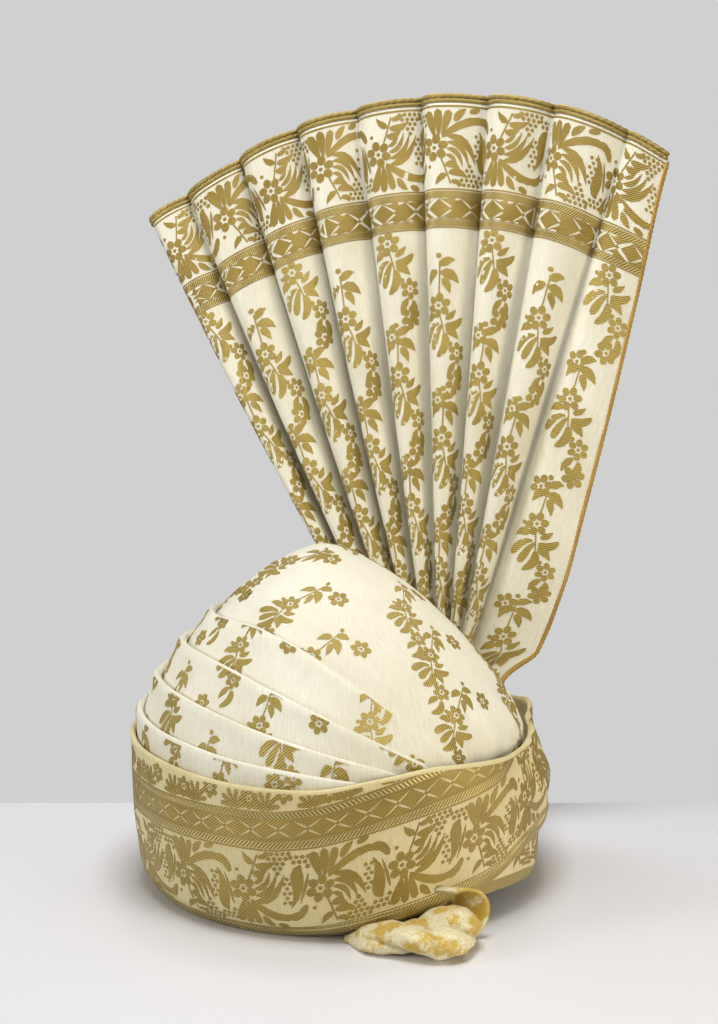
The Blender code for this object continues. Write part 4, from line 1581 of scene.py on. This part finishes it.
    def cut(self) -> tuple[tuple[float, float], float]:
        """The flat size that the pleated cloth was cut to: width and length, and its flat area."""
        reaches = np.linspace(self.lowest(), self.radius, 14)
        widths = np.array([self.arc_table(float(reach))[1][-1] for reach in reaches])
        area = float(((widths[1:] + widths[:-1]) / 2 * np.diff(reaches)).sum())
        return (float(widths.max()), self.radius - self.lowest()), area

    def build(self) -> bpy.types.Object:
        """Makes the pleated cloth, front and back."""
        s = self.columns()[:, None]
        reach = np.linspace(self.lowest(), self.radius, self.rows)
        grid = np.broadcast_to(reach, (len(s), self.rows))
        front = self.outside(s + 0 * grid, grid, np.zeros_like(grid))
        back = self.point(s + 0 * grid, grid, -self.wall / 2 + 0 * grid)
        points = np.concatenate([front, back[:, ::-1]], axis=1)
        length = np.concatenate([grid, grid[:, ::-1], grid[:, :1]], axis=1)
        length = np.concatenate([length, length[:1]], axis=0)
        across = np.concatenate([s, s[-1:]], axis=0) + 0 * length
        return loft("fan_cloth", points, self.flatten(across, length), closed=False)


@dataclass(frozen=True)
class Cord:
    """A twisted cord along a line, with a section that turns as it goes."""

    name: str
    size: float = 3.3 * MM
    lay: float = 5.0 * MM
    strands: int = 2
    sides: int = 12
    depth: float = 0.22

    def build(self, line: Grid, lift: Grid) -> bpy.types.Object:
        """Makes the cord along points that lie close together.

        Args:
            line: its centreline.
            lift: the direction that stands up from what it lies on, at each point.

        Returns:
            The new object.
        """
        length = run_length(line)
        ahead = np.gradient(line, axis=0)
        ahead /= np.linalg.norm(ahead, axis=1, keepdims=True)
        side = np.cross(ahead, lift)
        side /= np.linalg.norm(side, axis=1, keepdims=True)
        up = np.cross(side, ahead)
        turn = 2 * np.pi * np.arange(self.sides) / self.sides
        twist = 2 * np.pi * length[:, None] / (self.lay * self.strands)
        lobes = np.abs(np.cos(self.strands * (turn - twist) / 2))
        radius = self.size / 2 * (1 - self.depth * (1 - lobes))
        ends = np.minimum(np.minimum(length, length[-1] - length) / self.size, 1.0)[:, None]
        radius = radius * (0.15 + 0.85 * np.sqrt(1 - (1 - ends) ** 2))
        points = line[:, None] + radius[..., None] * (
            np.cos(turn)[None, :, None] * side[:, None] + np.sin(turn)[None, :, None] * up[:, None])
        places = map_grid(np.append(length, length[-1]), np.append(turn, 2 * np.pi) * self.size / 2)
        return loft(self.name, points, places, closed=False)


@dataclass
class Tail:
    """The cloth's end: a loop that comes down from under the rim, and the twisted roll that runs from it."""

    form: HeadForm
    end_angle: float = math.radians(-57.5)
    length_angle: float = math.radians(31)
    width: float = 41 * MM
    height: float = 22 * MM
    twist: float = math.radians(330)
    strands: int = 2
    stations: int = 150
    sides: int = 72
    loop_wall: float = 1.8 * MM
    loop_width: float = 20 * MM
    loop_half: tuple[float, float] = (13.0 * MM, 13.0 * MM)
    loop_span: tuple[float, float] = (math.radians(118), math.radians(-105))
    # share of the length, width and height as shares
    taper: Table = (
        (0.00, 0.30, 0.46),
        (0.06, 0.62, 0.74),
        (0.16, 0.86, 0.92),
        (0.30, 1.00, 1.00),
        (0.45, 0.94, 0.94),
        (0.60, 0.82, 0.82),
        (0.74, 0.68, 0.68),
        (0.87, 0.48, 0.50),
        (1.00, 0.12, 0.20),
    )

    def build_roll(self) -> bpy.types.Object:
        """Makes the twisted roll: two strands that turn round each other, with soft creases."""
        share = np.linspace(0, 1, self.stations)
        angle = self.end_angle - share * self.length_angle
        half_width = read_table(self.taper, 1, share) * self.width / 2
        half_height = read_table(self.taper, 2, share) * self.height / 2
        wall = self.form.border_offset + self.form.border_wall
        near = self.form.point(angle, self.form.place_at(half_height), np.full_like(angle, wall))
        near = near - self.form.axis
        centre = np.hypot(near[:, 0], near[:, 1]) + self.form.ply_gap + half_width
        turn = 2 * np.pi * np.arange(self.sides) / self.sides
        twist = share[:, None] * self.twist + 0.5
        lobe = np.abs(np.cos(self.strands * (turn - twist) / 2)) ** 0.7
        crease = 0.020 * np.sin(7 * (turn - 1.2 * twist)) + 0.014 * np.sin(13 * turn + 5 * share[:, None])
        size = 0.52 + 0.48 * lobe + crease
        out = centre[:, None] + half_width[:, None] * size * np.cos(turn)
        up = half_height[:, None] * (1 + size * np.sin(turn))
        up = np.maximum(up - up.min(axis=1, keepdims=True), 0.0)
        points = np.stack([out * np.cos(angle)[:, None], out * np.sin(angle)[:, None], up], axis=-1)
        length = share * self.length_angle * 0.14
        places = map_grid(np.append(length, length[-1]), np.append(turn, 2 * np.pi) * 0.012)
        return loft("tail_roll", points + self.form.axis, places, closed=False)

    def build_loop(self) -> bpy.types.Object:
        """Makes the loop: a band of cloth that bends down from the rim to the ground."""
        turn = np.linspace(*self.loop_span, 44)
        wave = 1 + 0.03 * np.sin(3.3 * turn)
        ahead = np.array([math.sin(self.end_angle), -math.cos(self.end_angle), 0.0])
        out = np.array([math.cos(self.end_angle), math.sin(self.end_angle), 0.0])
        reach = self.form.radius + self.form.border_offset + 10 * MM
        middle = self.form.axis + out * reach + ahead * 11 * MM
        middle = middle + np.array([0.0, 0.0, self.loop_half[1] + self.loop_wall])
        across = np.linspace(-0.5, 0.5, 14) * self.loop_width
        rows = []
        for wall, order in ((0.0, slice(None)), (self.loop_wall, slice(None, None, -1))):
            shift = across[order] - 4 * MM
            flare = 1 + 0.10 * (across[order] / self.loop_width + 0.5)
            swing = (self.loop_half[0] * wave[:, None] * flare - wall) * np.cos(turn)[:, None]
            lift = (self.loop_half[1] * wave[:, None] * flare - wall) * np.sin(turn)[:, None]
            side = -ahead * 0.55 + out * 0.83
            side = side / np.linalg.norm(side)
            rows.append(middle + swing[..., None] * (-ahead) * 0.9 + swing[..., None] * out * 0.25
                        + lift[..., None] * np.array([0.0, 0.0, 1.0]) + shift[None, :, None] * side)
        points = np.concatenate(rows, axis=1)
        points[..., 2] = np.maximum(points[..., 2], 0.3 * MM)
        length = np.append(turn, turn[-1]) * -self.loop_half[0]
        width = np.concatenate([across, across[::-1], across[:1]])
        return loft("tail_loop", points, map_grid(length, width), closed=False)


@dataclass(frozen=True)
class SoftLamp:
    """One large, soft studio light."""

    name: str
    place: tuple[float, float, float]
    target: tuple[float, float, float]
    size: float
    power: float
    colour: tuple[float, float, float]
    spread: float = 180.0

    def build(self, origin: Grid) -> None:
        """Adds the light, placed from this origin."""
        lamp = bpy.data.lights.new(self.name, "AREA")
        lamp.size = self.size
        lamp.energy = self.power
        lamp.spread = math.radians(self.spread)
        lamp.color = self.colour
        thing = add_object(self.name, lamp)
        place, target = np.array(self.place) + origin, np.array(self.target) + origin
        ahead = target - place
        thing.location = place
        thing.rotation_euler = (
            math.acos(-ahead[2] / np.linalg.norm(ahead)), 0.0, math.atan2(ahead[1], ahead[0]) - math.pi / 2)


@dataclass
class Studio:
    """The pale table, soft lights and the camera at the photograph's angle."""

    form: HeadForm
    camera_side: float = 0.01094
    camera_back: float = 0.866
    camera_height: float = 0.2839
    camera_pitch: float = math.radians(4.294)
    lens: float = 50.74
    table_front: float = 1.2
    table_rear: float = 0.1446
    table_half_width: float = 1.6
    table_depth: float = 0.03
    lamps: tuple[SoftLamp, ...] = (
        SoftLamp("left_key", (-1.25, -0.45, 0.50), (-0.10, 0.05, 0.38), 0.45, 1.7, (1.0, 0.98, 0.90), 70.0),
        SoftLamp("right_low", (0.95, -0.75, 0.26), (0.05, -0.03, 0.12), 0.45, 1.9, (1.0, 0.94, 0.78), 110.0),
        SoftLamp("warm_right", (0.80, -0.45, 0.17), (0.10, -0.02, 0.08), 0.40, 0.55,
                 (1.0, 0.74, 0.36), 130.0),
        SoftLamp("right_key", (0.42, -1.10, 0.42), (0.03, -0.03, 0.10), 0.40, 0.3, (1.0, 0.97, 0.90)),
        SoftLamp("top_front", (0.0, -0.30, 1.25), (0.0, 0.0, 0.10), 0.50, 9.6, (1.0, 0.99, 0.96)),
        SoftLamp("rear_top", (0.05, 0.45, 1.35), (0.0, 0.0, 0.05), 0.55, 6.0, (0.99, 0.99, 1.0)),
    )

    def build(self) -> None:
        """Makes the table, the lights, the surroundings and the camera."""
        self.build_table()
        for lamp in self.lamps:
            lamp.build(self.form.axis)
        world = bpy.data.worlds.new("studio")
        world.use_nodes = True
        tree = world.node_tree
        seen, felt = tree.nodes["Background"], tree.nodes.new("ShaderNodeBackground")
        seen.inputs["Color"].default_value = (0.63, 0.63, 0.63, 1.0)
        felt.inputs["Color"].default_value = (0.16, 0.16, 0.175, 1.0)
        rays, mix = tree.nodes.new("ShaderNodeLightPath"), tree.nodes.new("ShaderNodeMixShader")
        tree.links.new(rays.outputs["Is Camera Ray"], mix.inputs["Fac"])
        tree.links.new(felt.outputs["Background"], mix.inputs[1])
        tree.links.new(seen.outputs["Background"], mix.inputs[2])
        tree.links.new(mix.outputs["Shader"], tree.nodes["World Output"].inputs["Surface"])
        bpy.context.scene.world = world
        bpy.context.scene.view_settings.view_transform = "Standard"
        self.build_camera()

    def build_table(self) -> None:
        """The pale slab that the turban stands on."""
        x, y = self.form.axis[:2]
        half = self.table_half_width
        front, rear = y - self.table_front, y + self.table_rear
        corners = [(x - half, front), (x + half, front), (x + half, rear), (x - half, rear)]
        points = [(*c, z) for z in (0.0, -self.table_depth) for c in corners]
        faces = [(0, 1, 2, 3), (7, 6, 5, 4), (0, 4, 5, 1), (1, 5, 6, 2), (2, 6, 7, 3), (3, 7, 4, 0)]
        mesh = bpy.data.meshes.new("table")
        mesh.from_pydata(points, [], faces)
        board = NodeBoard("table_top")
        colour = board.between(board.cloud(0.4, 2.0), (0.72, 0.72, 0.755), (0.76, 0.76, 0.79), 0.3, 0.7)
        mesh.materials.append(board.finish(colour, 0.6, 0.0, 0.0, (1, 1, 1)))
        table = add_object("table", mesh)

    def build_camera(self) -> None:
        """The camera, level across and pitched a little down."""
        lens = bpy.data.cameras.new("camera")
        lens.sensor_width = 36.0
        lens.sensor_fit = "AUTO"
        lens.lens = self.lens
        camera = add_object("camera", lens)
        x, y = self.form.axis[:2]
        camera.location = (x + self.camera_side, y - self.camera_back, self.camera_height)
        camera.rotation_euler = (math.pi / 2 - self.camera_pitch, 0.0, 0.0)
        bpy.context.scene.camera = camera


@dataclass
class Turban:
    """The whole turban: crown, wraps, border turn, fan and tail."""

    form: HeadForm
    finishes: Finishes
    brocade: Brocade = field(default_factory=Brocade)
    # name, rise, crossing angle, power of the fold's curve
    wraps: tuple[tuple[str, float, float, float], ...] = (
        ("wrap_turn_1", 0.655, -51.5, 2.80),
        ("wrap_turn_2", 0.506, -57.0, 1.75),
        ("wrap_turn_3", 0.335, -63.0, 1.35),
        ("wrap_turn_4", 0.172, -70.0, 1.00),
    )

    def build(self) -> None:
        """Makes every piece, the innermost cloth first."""
        form = self.form
        self.border = BorderTurn("border_turn", form, form.border_offset, form.border_wall)
        self.turns = [Wrap(name, form, form.wrap_offset(index), form.wrap_wall, rise=rise, crossing=crossing,
                           power=power, seed=1.7 * index + 0.4)
                      for index, (name, rise, crossing, power) in enumerate(self.wraps)]
        for turn, over in zip(self.turns, [*self.turns[1:], self.border]):
            turn.cover = over.top
        self.fan = Fan(form)
        self.build_crown()
        self.build_wraps()
        self.build_border()
        self.build_fan()
        self.build_tail()

    def build_crown(self) -> None:
        """Makes the dome and its sprigs."""
        form, gold = self.form, self.finishes.field_gold
        crown = Crown("crown", form, -form.crown_wall, form.crown_wall, cover=self.turns[0].top)
        cloth = dress(crown.build(), self.finishes.silk, "crown", "crown")
        woven = dress(crown.weave(self.brocade, gold, lean=-0.75, start=0.5), gold, "crown")
        crown.cut()

    def build_wraps(self) -> None:
        """Makes the diagonal wraps, each lying on the one before."""
        gold, under = self.finishes.field_gold, "crown"
        for index, turn in enumerate(self.turns):
            cloth = dress(turn.build(), self.finishes.silk, turn.name, turn.name)
            woven = [dress(turn.weave(self.brocade, gold, lean=-0.2, start=0.13 * index), gold, turn.name)]
            if turn is self.turns[-1]:
                woven.extend(self.dress_under_band(turn, cloth))
            turn.cut()
            under = turn.name

    def build_border(self) -> None:
        """Makes the border turn, its figures and its twilled rows."""
        finishes = self.finishes
        cloth = dress(self.border.build(), finishes.band_silk, "border_turn", "border_turn")
        woven = [dress(self.border.weave_figures(self.brocade, finishes.gold), finishes.gold, "border_turn")]
        for finish, rows, name in ((finishes.rope, ((0.3, 7.2), (54.8, 57.8)), "border_turn_rope_low"),
                                   (finishes.rope_back, ((71.1, 73.5),), "border_turn_rope_high")):
            woven.append(dress(self.border.weave_ropes(finish, rows, name), finish, "border_turn"))
        self.border.cut()

    def build_fan(self) -> None:
        """Makes the fan with figures on both sides, and its cords."""
        finishes = self.finishes
        cloth = dress(self.fan.build(), finishes.silk, "fan_pleats", "fan_pleats")
        for front in (True, False):
            for woven in (self.fan.weave_border(front, self.brocade, finishes.gold),
                          self.fan.weave_ropes(finishes.rope, front),
                          self.fan.weave_field(front, self.brocade, finishes.field_gold)):
                dress(woven, finishes.gold, "fan_pleats")
        self.build_edging()
        self.fan.cut()

    def build_tail(self) -> None:
        """Makes the tail's roll and its loop."""
        tail, finish = Tail(self.form), self.finishes.shot_silk
        roll = dress(tail.build_roll(), finish, "tail_twist", "tail_twist")
        loop = dress(tail.build_loop(), finish, "tail_twist", "tail_twist")

    def dress_under_band(self, turn: Wrap, cloth: bpy.types.Object) -> list[bpy.types.Object]:
        """Gives the outermost wrap the gold band that shows under the border turn."""
        paint_low(cloth, self.finishes.band_silk, turn.low, 50 * MM, self.form)
        gold = self.finishes.gold
        figures = dress(turn.weave_under_band(self.brocade, gold), gold, turn.name)
        rope = turn.weave_ropes(self.finishes.rope, ((0.3, 6.8),), turn.name + "_rope", (-85.0, 60.0))
        return [figures, dress(rope, self.finishes.rope, turn.name)]

    def build_edging(self) -> list[bpy.types.Object]:
        """Two twisted cords side by side along the fan's top, and one down its right edge."""
        cords = []
        s = np.linspace(0.0, self.fan.pleats + FLAP_END, 700)
        for name, rise in (("fan_cord_lower", 2.0 * MM), ("fan_cord_upper", 4.9 * MM)):
            line = self.fan.point(s, np.full_like(s, self.fan.radius + rise), 0 * s)
            front = self.fan.point(s, np.full_like(s, self.fan.radius + rise), 0 * s + 1 * MM) - line
            cord = Cord(name).build(line, front)
            cords.append(dress(cord, self.finishes.cord, "fan_edging", "fan_edging"))
        reach = np.linspace(0.125 * self.fan.radius, self.fan.radius + 1 * MM, 500)
        edge = np.full_like(reach, self.fan.pleats + FLAP_END)
        line = self.fan.point(edge, reach, 0 * reach)
        front = self.fan.point(edge, reach, 0 * reach + 1 * MM) - line
        hem = Cord("fan_hem_cord", size=3.6 * MM, lay=3.4 * MM).build(line, front)
        return [*cords, dress(hem, self.finishes.hem, "fan_pleats")]


def main() -> None:
    """Builds the studio and the turban."""
    logging.basicConfig(level=logging.INFO, format="%(message)s")
    form = HeadForm()
    Studio(form).build()
    Turban(form, Finishes()).build()


if __name__ == "__main__":
    main()
